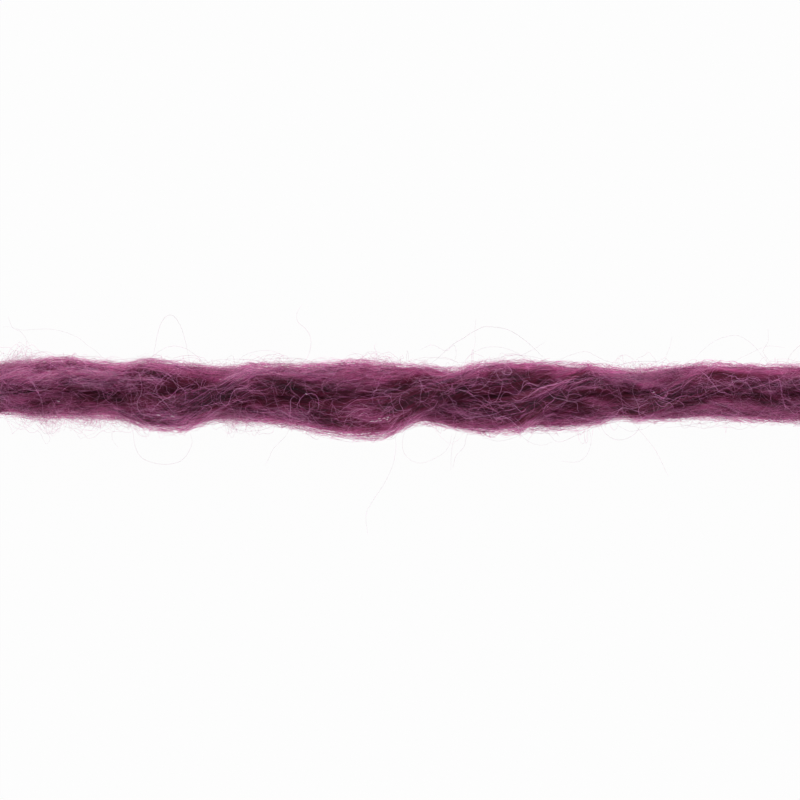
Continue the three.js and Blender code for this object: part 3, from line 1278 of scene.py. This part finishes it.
class YARN_OT_core(bpy.types.Operator):
    """Makes the dense cores of the plies, which carry all the fibres."""

    bl_idname = "yarn.core"
    bl_label = "Ply cores"

    STEP = 0.45
    AROUND = 32
    # How crisp the corners are, and the space between the cores, which run into each other.
    SHAPE = (8, -2.4)
    # Changes of the depth of the skin, as shares of a ply's thickness.
    LUMPS = 0.03
    LUMP_WAVES = (4, 9, 2)
    SIDE_DEPTH = 0.06
    OPEN_DEPTH = 0.13
    THIN_DEPTH = 0.05
    TONE = 0.3
    # Painted highlight on the ridges.
    RIDGE_HIGHLIGHT_TONE = 0.3
    # Painted glow where the wool at the sides is thin.
    PAINTED_GLOW_TONE = 0.6
    PALEST = 0.8
    # Where a ply starts in its strip of the bake's map, and how much of the strip it fills.
    STRIP = (0.05, 0.9)
    DYE_SCALE = 400
    DYE_CHANGE = 0.4
    LIGHT_DEPTH = 0.6 * MM
    STREAK_TONE = 0.38
    STREAK_DEPTH = 0.04 * MM
    LINE_POINTS = 41

    def execute(self, context):
        fibres = context.scene.yarn_fibres
        rng = np.random.default_rng(fibres.seed)
        count = round(LENGTH / self.STEP)
        x = np.linspace(-LENGTH / 2, LENGTH / 2, count + 1)
        angle = np.arange(self.AROUND) / self.AROUND * 2 * np.pi
        xs = np.repeat(x[:, None], self.AROUND, 1)
        spots = np.broadcast_to(angle, xs.shape)
        points, corners, sizes, uvs, tones = [], [], [], [], []
        base = 0
        for k, (node, *_) in enumerate(PLIES[1:]):
            y, z = strand.point(node, xs, spots, fibres.core_depth, *self.SHAPE)
            turn = strand.turn_of(xs, y, z)
            opened, thin = openings.at(xs, turn), thinness_and_glow(xs, turn)
            depth = fibres.core_depth + ripple(rng, xs.T, *self.LUMP_WAVES).T * self.LUMPS
            depth = depth + self.SIDE_DEPTH * np.abs(np.sin(2 * np.pi * turn)) ** SIDE_POWER
            depth = depth - self.OPEN_DEPTH * opened * np.maximum(np.cos(spots), 0)
            depth = (depth - self.THIN_DEPTH * thin) * end_size(xs)
            y, z = strand.point(node, xs, spots, depth, *self.SHAPE)
            skin = np.stack((xs, y, np.maximum(z, 0)), -1).reshape(-1, 3)
            ends = skin.reshape(count + 1, self.AROUND, 3)[[0, -1]].mean(1)
            number = base + np.arange(len(skin)).reshape(count + 1, self.AROUND)
            after = np.roll(number, -1, 1)
            quads = np.stack((number[:-1], number[1:], after[1:], after[:-1]), -1).reshape(-1, 4)
            first, last = base + len(skin), base + len(skin) + 1
            start = np.stack((np.full(self.AROUND, first), number[0], after[0]), -1)
            finish = np.stack((np.full(self.AROUND, last), after[-1], number[-1]), -1)
            points += [skin, ends]
            corners += [quads.ravel(), start.ravel(), finish.ravel()]
            sizes += [np.full(len(quads), 4), np.full(2 * self.AROUND, 3)]
            margin, wide = self.STRIP
            u = np.arange(count + 1)[:, None] / count
            v = k + margin + wide * np.arange(self.AROUND + 1) / self.AROUND
            spot = np.stack(np.broadcast_arrays(u, v / len(PLIES[1:])), -1)
            square = np.stack((spot[:-1, :-1], spot[1:, :-1], spot[1:, 1:], spot[:-1, 1:]), 2)
            cap = np.repeat(spot[[0, -1], :-1].reshape(-1, 1, 2), 3, 1)
            uvs += [square.reshape(-1, 2), cap.reshape(-1, 2)]
            # Painted highlight on the ridges and painted glow at the thin sides, up to PALEST.
            tone = self.TONE + self.PAINTED_GLOW_TONE * thin + self.RIDGE_HIGHLIGHT_TONE * ridges.at(xs, turn)
            # Painted shade: the openings take the tone down to the deep colour.
            tone = np.minimum(tone, self.PALEST) * (1 - opened)
            tones += [tone.ravel(), np.full(2, self.TONE)]
            base += len(skin) + 2
        core = new_mesh(CORE, *map(np.concatenate, (points, corners, sizes, uvs, tones)))
        look = {"dye_scale": self.DYE_SCALE, "light_depth": self.LIGHT_DEPTH}
        material = wool_material("dense wool", self.DYE_CHANGE, sheen=0.0, **look)
        wool_piece(core, add_streaks(material, self.STREAK_TONE, self.STREAK_DEPTH))
        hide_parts(*(p[0] for p in PLIES[1:]))
        line = np.linspace(-LENGTH / 2, LENGTH / 2, self.LINE_POINTS)
        across, up = strand.at(line, strand.across), strand.at(line, strand.up)
        return {"FINISHED"}


class YARN_OT_coat(bpy.types.Operator):
    """Lays the coat of fibres along each ply, in locks."""

    bl_idname = "yarn.coat"
    bl_label = "Coat of fibres"

    OWN_SEED = 10
    STEPS = 9
    CORNER = 4
    # How far before the strand's start and past its end a lock may begin.
    PAST_ENDS = (8, 2)
    LOCK_LENGTH = (8, 22)
    FIBRE_LENGTH = (2.8, 7.2)
    SHORTEST = 2
    SIDEWAYS = 1.8
    COUNTER_TWIST = (0.0, 1.2)
    SPREAD = (0.1, 0.4)
    # Layers and changes of depth, as shares of a ply's thickness.
    LAYERS = (0.74, 0.93)
    OUTER_LAYER = 0.8
    LOCK_LAYER = 0.03
    OUTWARD = 0.5
    BOUNCE = 0.025
    BOUNCE_WAVES = (2, 8, 2.5)
    OPEN = 0.14
    RAISE = 0.02
    DEEPEN = 0.18
    LEAN = 0.1
    CRIMP = 0.1
    CRIMP_WAVES = (3, 5, 1.3)
    TONE = (0.36, 0.26)
    LOCK_TONE = 0.16
    # The tone rises with the layer, by so much for each share, about a layer near the skin:
    # painted shade that darkens the fibres deeper in the coat.
    DEPTH_SHADE_TONE = 1.2
    MIDDLE_LAYER = 0.9
    # Painted shade: the tone falls by so much in the openings.
    OPENING_SHADE_TONE = 0.65
    # Painted highlight: the tone rises by so much on the ridges.
    RIDGE_HIGHLIGHT_TONE = 0.5
    # Painted glow: the tone rises by so much where the sides are thin.
    PAINTED_GLOW_TONE = 0.42
    # Evens out the fibres' own tones under the painted glow.
    EVEN_UNDER_GLOW = 0.6
    OPEN_OUT = 0.75
    THIN_OUT = 0.1
    THICK = (0.6, 1.4)

    def execute(self, context):
        fibres = context.scene.yarn_fibres
        material = wool_material("wool fibre", dye_change=0.5, sheen=0.1)
        for k, (node, *_) in enumerate(PLIES[1:]):
            rng = np.random.default_rng(fibres.seed + self.OWN_SEED + k)
            count = fibres.locks
            before, after = self.PAST_ENDS
            lock_length = rng.uniform(*self.LOCK_LENGTH, count)
            start = rng.uniform(-LENGTH / 2 - before, LENGTH / 2 + after, count)
            angle = rng.uniform(-self.SIDEWAYS, self.SIDEWAYS, count)
            counter = rng.uniform(*self.COUNTER_TWIST, count)
            width = rng.uniform(*self.SPREAD, count)
            lock_layer = rng.uniform(-self.LOCK_LAYER, self.LOCK_LAYER, count)
            lock_tone = rng.normal(0, self.LOCK_TONE, count)

            own = np.repeat(np.arange(count), fibres.lock_fibres)
            length = np.minimum(rng.uniform(*self.FIBRE_LENGTH, len(own)), lock_length[own])
            begin = start[own] + rng.random(len(own)) * (lock_length[own] - length)
            end = np.minimum(begin + length, LENGTH / 2)
            begin = np.maximum(begin, -LENGTH / 2)
            keep = end - begin > self.SHORTEST
            own, begin, end = own[keep], begin[keep], end[keep]
            n = len(own)
            x = begin[:, None] + (end - begin)[:, None] * np.linspace(0, 1, self.STEPS)
            turned = strand.at(x, strand.lift[node][0])
            from_turn = strand.at(start[own] + lock_length[own] / 2, strand.lift[node][0])
            offset = rng.normal(0, 1, n) * width[own]
            lean = rng.normal(0, self.LEAN, n)
            around = (
                (angle[own] + offset)[:, None]
                - counter[own][:, None] * (turned - from_turn[:, None])
                + lean[:, None] * (x - x.mean(1, keepdims=True))
                + self.CRIMP * ripple(rng, x, *self.CRIMP_WAVES)
            )
            low, high = self.LAYERS
            layer = low + (high - low) * rng.random(n) ** self.OUTWARD
            bounce = self.BOUNCE * ripple(rng, x, *self.BOUNCE_WAVES)
            depth = (layer + lock_layer[own])[:, None] + bounce
            y, z = strand.point(node, x, around, depth, self.CORNER)
            turn = strand.turn_of(x, y, z)
            opened, raised, thin = openings.at(x, turn), ridges.at(x, turn), thinness_and_glow(x, turn)
            depth = depth - self.OPEN * opened + self.RAISE * raised
            depth = depth - self.DEEPEN * rng.random((n, 1)) * thin
            depth = np.minimum(depth, 1) * end_size(x)
            y, z = strand.point(node, x, around, depth, self.CORNER)
            own_tone = rng.normal(*self.TONE, n) + lock_tone[own]
            # Painted shade on the fibres that lie deeper in the coat.
            own_tone = own_tone + (layer - self.MIDDLE_LAYER) * self.DEPTH_SHADE_TONE
            # The fibre's own tone, with painted shade in the openings, painted highlight on the
            # ridges and painted glow at the thin sides.
            tone = (
                self.TONE[0]
                + (own_tone - self.TONE[0])[:, None] * (1 - self.EVEN_UNDER_GLOW * np.minimum(thin, 1))
                - self.OPENING_SHADE_TONE * opened
                + self.RIDGE_HIGHLIGHT_TONE * raised
                + self.PAINTED_GLOW_TONE * thin
            )
            out = self.OPEN_OUT * opened.max(1) ** OPEN_POWER * (layer > self.OUTER_LAYER)
            stay = rng.random(n) > out
            stay &= (rng.random(n) > self.THIN_OUT * thin.mean(1)) & shows(rng, turn)
            paths = np.stack((x, y, np.maximum(z, LINE_FLOOR)), -1)[stay]
            thick = fibres.coat_thickness / MM * rng.uniform(*self.THICK, len(paths))
            piece = fibre_mesh(f"{node}_fibres", rng, paths, thick, tone[stay])
            wool_piece(piece, material)
        return {"FINISHED"}


class YARN_OT_wraps(bpy.types.Operator):
    """Lays fibres that wander from ply to ply over the valleys."""

    bl_idname = "yarn.wraps"
    bl_label = "Wandering fibres"

    OWN_SEED = 20
    STEPS = 10
    LENGTHS = (2, 5)
    HEADING = (0.1, 0.6)
    CURL = 0.9
    CURL_WAVES = (3, 4.5, 1.3)
    MARGIN = 3
    HEIGHT = (-0.42, -0.03)
    BOUNCE = 0.05
    BOUNCE_WAVES = (2, 4, 1.5)
    DIP = 0.5
    TONE = (0.56, 0.16)
    # Painted shade in the openings.
    OPENING_SHADE_TONE = 0.4
    # Painted highlight on the ridges.
    RIDGE_HIGHLIGHT_TONE = 0.5
    # Painted glow at the thin sides.
    PAINTED_GLOW_TONE = 0.25
    OPEN_OUT = 0.65
    THICK = (0.5, 1.1)

    def execute(self, context):
        fibres = context.scene.yarn_fibres
        rng = np.random.default_rng(fibres.seed + self.OWN_SEED)
        n = fibres.wraps
        length = rng.uniform(*self.LENGTHS, n)
        heading = rng.normal(*self.HEADING, n)
        curl = rng.normal(0, self.CURL, n)
        sheet = wander(rng, self.STEPS, length, heading, curl, self.CURL_WAVES)
        x, turn = wrapped(rng, places(rng, n, self.MARGIN), *sheet)
        height = rng.uniform(*self.HEIGHT, n)[:, None]
        height = height + self.BOUNCE * ripple(rng, x, *self.BOUNCE_WAVES)
        opened, raised, thin = openings.at(x, turn), ridges.at(x, turn), thinness_and_glow(x, turn)
        # The tone, with painted shade in the openings, painted highlight on the ridges and painted
        # glow at the thin sides.
        tone = rng.normal(*self.TONE, n)[:, None] - self.OPENING_SHADE_TONE * opened
        tone = tone + self.RIDGE_HIGHLIGHT_TONE * raised + self.PAINTED_GLOW_TONE * thin
        stay = rng.random(n) > self.OPEN_OUT * opened.max(1) ** OPEN_POWER
        stay &= shows(rng, turn)
        thick = fibres.coat_thickness / MM * rng.uniform(*self.THICK, n)
        paths = laid(x, turn, height - self.DIP * opened)[stay]
        piece = fibre_mesh("wandering_fibres", rng, paths, thick[stay], tone[stay])
        wool_piece(piece, wool_material("loose wool fibre", dye_change=0.4, sheen=0.15))
        return {"FINISHED"}


class YARN_OT_curls(bpy.types.Operator):
    """Lays the pale curly strays over the strand: those in the photo, and more all round."""

    bl_idname = "yarn.curls"
    bl_label = "Curly strays"

    OWN_SEED = 30
    STEPS = 15
    LENGTHS = (1.5, 5.5)
    CURL = 1.3
    CURL_CHANGE = (0.5, 1.5)
    CURL_WAVES = (3, 6, 1.5)
    MARGIN = 1
    HEIGHT = (0.0, 0.3)
    BOUNCE = 0.06
    BOUNCE_WAVES = (2, 3, 1.5)
    # How far both tips dive into the wool. A higher power keeps the dive to the very tips.
    DIVE = 0.3
    DIVE_POWER = 8
    TONE = (0.84, 0.14)
    THICK = (0.6, 1.2)
    # The fibres of the photo lie higher, and are thicker and paler.
    SEEN_HEIGHT = (0.05, 0.35)
    SEEN_THICK = (0.9, 1.25)
    SEEN_TONE = 0.12
    CRIMP = 0.05
    CRIMP_WAVES = (2, 1.1, 0.5)

    def execute(self, context):
        fibres = context.scene.yarn_fibres
        rng = np.random.default_rng(fibres.seed + self.OWN_SEED)
        dive = self.DIVE * np.linspace(-1, 1, self.STEPS) ** self.DIVE_POWER
        found = []
        for points in CURLS:
            px, py = smooth_through(points, self.STEPS).T
            lift = rng.uniform(*self.SEEN_HEIGHT) - dive
            x, y = photo_place(px, py)
            gone = np.linspace(0, 1, self.STEPS)[None] * len(points)
            x = x + self.CRIMP * ripple(rng, gone, *self.CRIMP_WAVES)[0]
            y = y + self.CRIMP * ripple(rng, gone, *self.CRIMP_WAVES)[0]
            found.append(laid(x, strand.turn_below(x, y, lift), lift))
        n = fibres.strays
        length = rng.uniform(*self.LENGTHS, n)
        heading = rng.uniform(-np.pi, np.pi, n)
        curl = self.CURL * rng.uniform(*self.CURL_CHANGE, n)
        sheet = wander(rng, self.STEPS, length, heading, curl, self.CURL_WAVES)
        x, turn = wrapped(rng, places(rng, n, self.MARGIN), *sheet)
        height = rng.uniform(*self.HEIGHT, n)[:, None]
        height = height + self.BOUNCE * ripple(rng, x, *self.BOUNCE_WAVES) - dive
        stay = shows(rng, turn)
        paths = np.concatenate((np.stack(found), laid(x, turn, height)[stay]))
        seen = np.arange(len(paths)) < len(found)
        thick = fibres.stray_thickness / MM * rng.uniform(*self.THICK, len(paths))
        thick[seen] = fibres.stray_thickness / MM * rng.uniform(*self.SEEN_THICK, len(found))
        tone = rng.normal(*self.TONE, len(paths))
        tone[seen] += self.SEEN_TONE
        piece = fibre_mesh("curly_strays", rng, paths, thick, tone)
        wool_piece(piece, wool_material("pale wool fibre", dye_change=0.3, sheen=0.3))
        return {"FINISHED"}


class YARN_OT_painted_glints(bpy.types.Operator):
    """Lays the tiny near-white flecks that are painted glints."""

    bl_idname = "yarn.flecks"
    bl_label = "Undyed flecks"

    OWN_SEED = 35
    STEPS = 4
    THICK = 0.06
    HEIGHT = (0.0, 0.08)
    JITTER = 0.002

    def execute(self, context):
        rng = np.random.default_rng(context.scene.yarn_fibres.seed + self.OWN_SEED)
        rows = columns(PAINTED_GLINTS)
        n = len(rows["px"])
        x, y = photo_place(rows["px"], rows["py"])
        ahead = PHOTO_SCALE * rows["long"][:, None] * np.linspace(-0.5, 0.5, self.STEPS)
        height = rng.uniform(*self.HEIGHT, (n, 1))
        turn = strand.turn_below(x, y, height[:, 0])[:, None]
        turn = turn + self.JITTER * rng.normal(size=(n, self.STEPS))
        paths = laid(x[:, None] + ahead, turn, height)
        # Painted glints: short near-white fibres that stand in for glints of light on the wool.
        piece = fibre_mesh("undyed_flecks", rng, paths, np.full(n, self.THICK), np.ones(n))
        material = wool_material("undyed wool", dye_change=0.0, sheen=0.3)
        nodes = material.node_tree.nodes
        for label in ("Pale", "Light"):
            painted_glint = (*context.scene.yarn_colours.painted_glint, 1.0)
            nodes["Dyed wool"].inputs[label].default_value = painted_glint
        nodes["Principled BSDF"].inputs["Subsurface Weight"].default_value = 0.0
        wool_piece(piece, material)
        return {"FINISHED"}


class YARN_OT_fuzz(bpy.types.Operator):
    """Makes the short fuzz that stands out all round."""

    bl_idname = "yarn.fuzz"
    bl_label = "Fuzz"

    OWN_SEED = 40
    HALVES = ("left", "right")
    STEPS = 5
    LENGTHS = (0.5, 2.4)
    HEADING = 0.6
    CURL = 1.6
    CURL_WAVES = (3, 4, 1.2)
    MARGIN = 0.5
    PAST_ENDS = 1
    ROOT = -0.2
    HEIGHT = 0.095
    TONE = (0.84, 0.2)
    # Painted shade in the openings.
    OPENING_SHADE_TONE = 0.3
    # Painted highlight on the ridges.
    RIDGE_HIGHLIGHT_TONE = 0.2
    OPEN_OUT = 0.8
    THICK = (0.6, 1.3)
    # Less light gets into these fibres than into the others.
    LIGHT_INSIDE = 0.4

    def execute(self, context):
        fibres = context.scene.yarn_fibres
        material = wool_material("fuzz fibre", dye_change=0.3, sheen=0.2)
        surface = material.node_tree.nodes["Principled BSDF"]
        surface.inputs["Subsurface Weight"].default_value = self.LIGHT_INSIDE
        for k, half in enumerate(self.HALVES):
            rng = np.random.default_rng(fibres.seed + self.OWN_SEED + k)
            n = fibres.fuzz
            length = rng.uniform(*self.LENGTHS, n)
            heading = rng.normal(0, self.HEADING, n) + np.pi * rng.integers(0, 2, n)
            curl = rng.normal(0, self.CURL, n)
            sheet = wander(rng, self.STEPS, length, heading, curl, self.CURL_WAVES)
            place = (rng.random(n) - 1 + k) * (LENGTH / 2 - self.MARGIN)
            x, turn = wrapped(rng, place, *sheet, self.PAST_ENDS)
            height = standing(rng, rng.exponential(self.HEIGHT, n), self.ROOT, self.STEPS)
            opened = openings.at(x, turn)
            stay = (rng.random(n) > self.OPEN_OUT * opened.mean(1)) & shows(rng, turn)
            paths = laid(x, turn, height)[stay]
            thick = fibres.fuzz_thickness / MM * rng.uniform(*self.THICK, len(paths))
            # The tone, with painted shade in the openings and painted highlight on the ridges.
            tone = rng.normal(*self.TONE, n)[:, None] - self.OPENING_SHADE_TONE * opened
            tone = tone + self.RIDGE_HIGHLIGHT_TONE * ridges.at(x, turn)
            piece = fibre_mesh(f"fuzz_{half}", rng, paths, thick, tone[stay])
            wool_piece(piece, material)
        return {"FINISHED"}


class YARN_OT_wisps(bpy.types.Operator):
    """Makes the wisps that stand out beside the strand, in tufts."""

    bl_idname = "yarn.wisps"
    bl_label = "Wisps"

    OWN_SEED = 45
    STEPS = 8
    LENGTHS = (0.5, 2.7)
    CURL = 3.1
    CURL_CHANGE = (0.5, 1.5)
    CURL_WAVES = (3, 1.8, 0.6)
    # How far the wisps spread from the middle of their tuft, in half lengths of it.
    SPREAD = 0.7
    MARGIN = 1
    PAST_ENDS = 1
    ROOT = -0.2
    SIDE_TURN = (0.22, 0.05)
    SWAY = 0.02
    SWAY_WAVES = (2, 3, 1)
    # The share of the wisps that stand in no tuft, and how far these stand out.
    LOOSE = 0.22
    LOOSE_TALL = 0.25
    TALLER = 0.9
    TALLEST = 2.4
    # Limits of the height: for the fibre's length, and of how far its own curl is stretched.
    STEEPEST = 0.9
    LEAST_RISE = 0.2
    MOST_STRETCH = 1.5
    # The share of the wisps that lie low on the sides, and where.
    LOW = 0.14
    LOW_TURN = (0.4, 0.03)
    # The share of the wisps that arch, the fullness of the arch, and how much they curl over it.
    ARCHED = 0.6
    ARCH_POWER = 0.7
    ARCH_CURL = 0.3
    THICK = (0.4, 0.8)
    TONE = (0.84, 0.16)

    def execute(self, context):
        fibres = context.scene.yarn_fibres
        rng = np.random.default_rng(fibres.seed + self.OWN_SEED)
        n = fibres.wisps
        rows = columns(TUFTS)
        tuft = rng.choice(len(rows["px"]), n, p=rows["dense"] / rows["dense"].sum())
        centre, _ = photo_place(rows["px"][tuft], 0)
        place = centre + rng.normal(0, self.SPREAD, n) * rows["long"][tuft] * PHOTO_SCALE
        side, tall = rows["side"][tuft], rows["tall"][tuft]
        loose = rng.random(n) < self.LOOSE
        place[loose] = places(rng, loose.sum(), self.MARGIN)
        side[loose] = rng.choice((-1, 1), loose.sum())
        tall[loose] = self.LOOSE_TALL
        tall = tall * self.TALLER
        length = rng.uniform(*self.LENGTHS, n)
        heading = rng.uniform(0, np.pi, n)
        curl = self.CURL * rng.uniform(*self.CURL_CHANGE, n)
        ahead, rise = wander(rng, self.STEPS, length, heading, curl, self.CURL_WAVES)
        rise = rise - rise[:, :1]
        top = np.minimum(rng.exponential(tall), self.TALLEST)
        top = np.minimum(top, self.STEEPEST * length) - self.ROOT
        stretch = top / np.maximum(rise.max(1), self.LEAST_RISE)
        height = self.ROOT + rise * np.minimum(stretch, self.MOST_STRETCH)[:, None]
        share = np.linspace(0, 1, self.STEPS)
        arch = self.ROOT + top[:, None] * np.sin(np.pi * share) ** self.ARCH_POWER
        arch = arch + self.ARCH_CURL * (rise - rise.mean(1, keepdims=True))
        arched = rng.random(n) < self.ARCHED
        height[arched] = arch[arched]
        ahead[arched] += (length[:, None] * (share - 0.5))[arched]
        x = place[:, None] + ahead
        x = np.clip(x, -LENGTH / 2 - self.PAST_ENDS, LENGTH / 2 + self.PAST_ENDS)
        middle = rng.normal(*self.SIDE_TURN, n)
        low = rng.random(n) < self.LOW
        middle[low] = rng.normal(*self.LOW_TURN, low.sum())
        turn = (side * middle)[:, None] + self.SWAY * ripple(rng, x, *self.SWAY_WAVES)
        paths = laid(x, turn, height)
        thick = fibres.fuzz_thickness / MM * rng.uniform(*self.THICK, n)
        piece = fibre_mesh("wisps", rng, paths, thick, rng.normal(*self.TONE, n))
        wool_piece(piece, bpy.data.materials["fuzz fibre"])
        return {"FINISHED"}


class YARN_OT_halo(bpy.types.Operator):
    """Makes the long thin fibres that float beside the strand."""

    bl_idname = "yarn.halo"
    bl_label = "Floating fibres"

    OWN_SEED = 50
    STEPS = 40
    # Height over the table of the fibres of the photo. Its waves are counted in steps.
    LEVELS = (1.0, 3.2)
    LEVEL_CHANGE = 0.6
    LEVEL_WAVES = (2, 24, 9)
    LOWEST = 0.1
    # The others: arches that start and end just inside the wool, tilted and swayed by their curl.
    LENGTHS = (4, 13)
    HEADING = 0.5
    CURL = 0.5
    CURL_WAVES = (3, 12, 2.5)
    SIDE_TURN = 0.33
    TALL = 0.9
    TALLEST = 5
    ROOT = 0.1
    TILT = 0.3
    SWAY = 0.02
    TONE = (0.5, 0.1)
    THICK = (0.7, 1.2)

    def execute(self, context):
        fibres = context.scene.yarn_fibres
        rng = np.random.default_rng(fibres.seed + self.OWN_SEED)
        paths = []
        for points in HALO:
            level = rng.uniform(*self.LEVELS)
            px, py = smooth_through(points, self.STEPS).T
            wave = ripple(rng, np.arange(self.STEPS)[None] * 1.0, *self.LEVEL_WAVES)
            z = np.maximum(level + self.LEVEL_CHANGE * wave[0], self.LOWEST)
            x, y = photo_place(px, py, z)
            paths.append(np.stack((x, y, z), -1))
        n = fibres.halo
        length = rng.uniform(*self.LENGTHS, n)
        heading = rng.uniform(-self.HEADING, self.HEADING, n)
        curl = rng.normal(0, self.CURL, n)
        ahead, aside = wander(rng, self.STEPS, length, heading, curl, self.CURL_WAVES)
        x = places(rng, n)[:, None] + ahead
        turn = rng.uniform(-self.SIDE_TURN, self.SIDE_TURN, n)
        arch = np.sin(np.pi * np.linspace(0, 1, self.STEPS))
        height = rng.exponential(self.TALL, n)[:, None] * arch - self.ROOT + self.TILT * aside
        height = np.minimum(height, self.TALLEST)
        more = laid(x, turn[:, None] + self.SWAY * aside, height)
        paths = np.concatenate((np.stack(paths), more))
        thick = fibres.halo_thickness / MM * rng.uniform(*self.THICK, len(paths))
        tone = rng.normal(*self.TONE, len(paths))
        piece = fibre_mesh("floating_fibres", rng, paths, thick, tone)
        wool_piece(piece, bpy.data.materials["fuzz fibre"])
        return {"FINISHED"}


class YARN_OT_ends(bpy.types.Operator):
    """Frays the cut ends."""

    bl_idname = "yarn.ends"
    bl_label = "Frayed ends"

    OWN_SEED = 60
    STEPS = 8
    ROOT = 2.5
    DEPTH = 0.9
    PAST = 0.75
    # The fibres splay from this far before the cut.
    LOOSENS = 1
    SPLAY = 0.3
    # How much they bend inside the strand, and how much more for each millimetre past the cut.
    BEND = 0.03
    CURL = 0.2
    MOST_CURLED = 1.5
    CURL_WAVES = (3, 3, 0.9)
    TONE = (0.5, 0.18)
    THICK = (0.6, 1.2)

    def execute(self, context):
        fibres = context.scene.yarn_fibres
        rng = np.random.default_rng(fibres.seed + self.OWN_SEED)
        share = np.linspace(0, 1, self.STEPS)
        paths = []
        for side in (-1, 1):
            for node, *_ in PLIES[1:]:
                n = fibres.end_fibres
                deep = np.sqrt(rng.random(n))
                angle = rng.uniform(-np.pi, np.pi, n)
                out = rng.exponential(self.PAST, n)
                x = side * (LENGTH / 2 - self.ROOT + (self.ROOT + out)[:, None] * share)
                drawn = side * np.minimum(np.abs(x), LENGTH / 2)
                y, z = strand.point(node, drawn, angle[:, None], self.DEPTH * deep[:, None])
                past = np.maximum(np.abs(x) - LENGTH / 2 + self.LOOSENS, 0)[..., None]
                way = rng.normal(0, self.SPLAY, (n, 1, 2))
                spread = np.stack((y, z), -1) + past * way
                bends = [ripple(rng, x, *self.CURL_WAVES) for _ in range(2)]
                free = np.minimum(past - self.LOOSENS, self.MOST_CURLED).clip(0)
                spread += (self.BEND + self.CURL * free) * np.stack(bends, -1)
                flat = np.maximum(spread[..., 1], LINE_FLOOR)
                paths.append(np.stack((x, spread[..., 0], flat), -1))
        paths = np.concatenate(paths)
        thick = fibres.coat_thickness / MM * rng.uniform(*self.THICK, len(paths))
        tone = rng.normal(*self.TONE, len(paths))
        piece = fibre_mesh("frayed_ends", rng, paths, thick, tone)
        wool_piece(piece, bpy.data.materials["wool fibre"])
        return {"FINISHED"}


PIECES = (
    YARN_OT_stage,
    YARN_OT_core,
    YARN_OT_coat,
    YARN_OT_wraps,
    YARN_OT_curls,
    YARN_OT_painted_glints,
    YARN_OT_fuzz,
    YARN_OT_wisps,
    YARN_OT_halo,
    YARN_OT_ends,
)


class YARN_PT_panel(bpy.types.Panel):
    """Lists the yarn's sizes, colours and steps."""

    bl_idname = "YARN_PT_panel"
    bl_label = "Knitting yarn"
    bl_space_type = "VIEW_3D"
    bl_region_type = "UI"
    bl_category = "Yarn"

    def draw(self, context):
        for group in GROUPS:
            box = self.layout.box()
            values = getattr(context.scene, group)
            for name in values.__annotations__:
                box.prop(values, name)
        for piece in PIECES:
            self.layout.operator(piece.bl_idname)


GROUPS = {
    "yarn_fibres": YarnFibres,
    "yarn_colours": YarnColours,
    "yarn_stage": YarnStage,
}


def register():
    for group in GROUPS.values():
        bpy.utils.register_class(group)
    for name, group in GROUPS.items():
        setattr(bpy.types.Scene, name, bpy.props.PointerProperty(type=group))
    for piece in (*PIECES, YARN_PT_panel):
        bpy.utils.register_class(piece)


def unregister():
    for piece in (YARN_PT_panel, *reversed(PIECES)):
        bpy.utils.unregister_class(piece)
    for name in GROUPS:
        delattr(bpy.types.Scene, name)
    for group in GROUPS.values():
        bpy.utils.unregister_class(group)


def main():
    register()
    for piece in PIECES:
        family, step = piece.bl_idname.split(".")
        getattr(getattr(bpy.ops, family), step)()


if __name__ == "__main__":
    main()
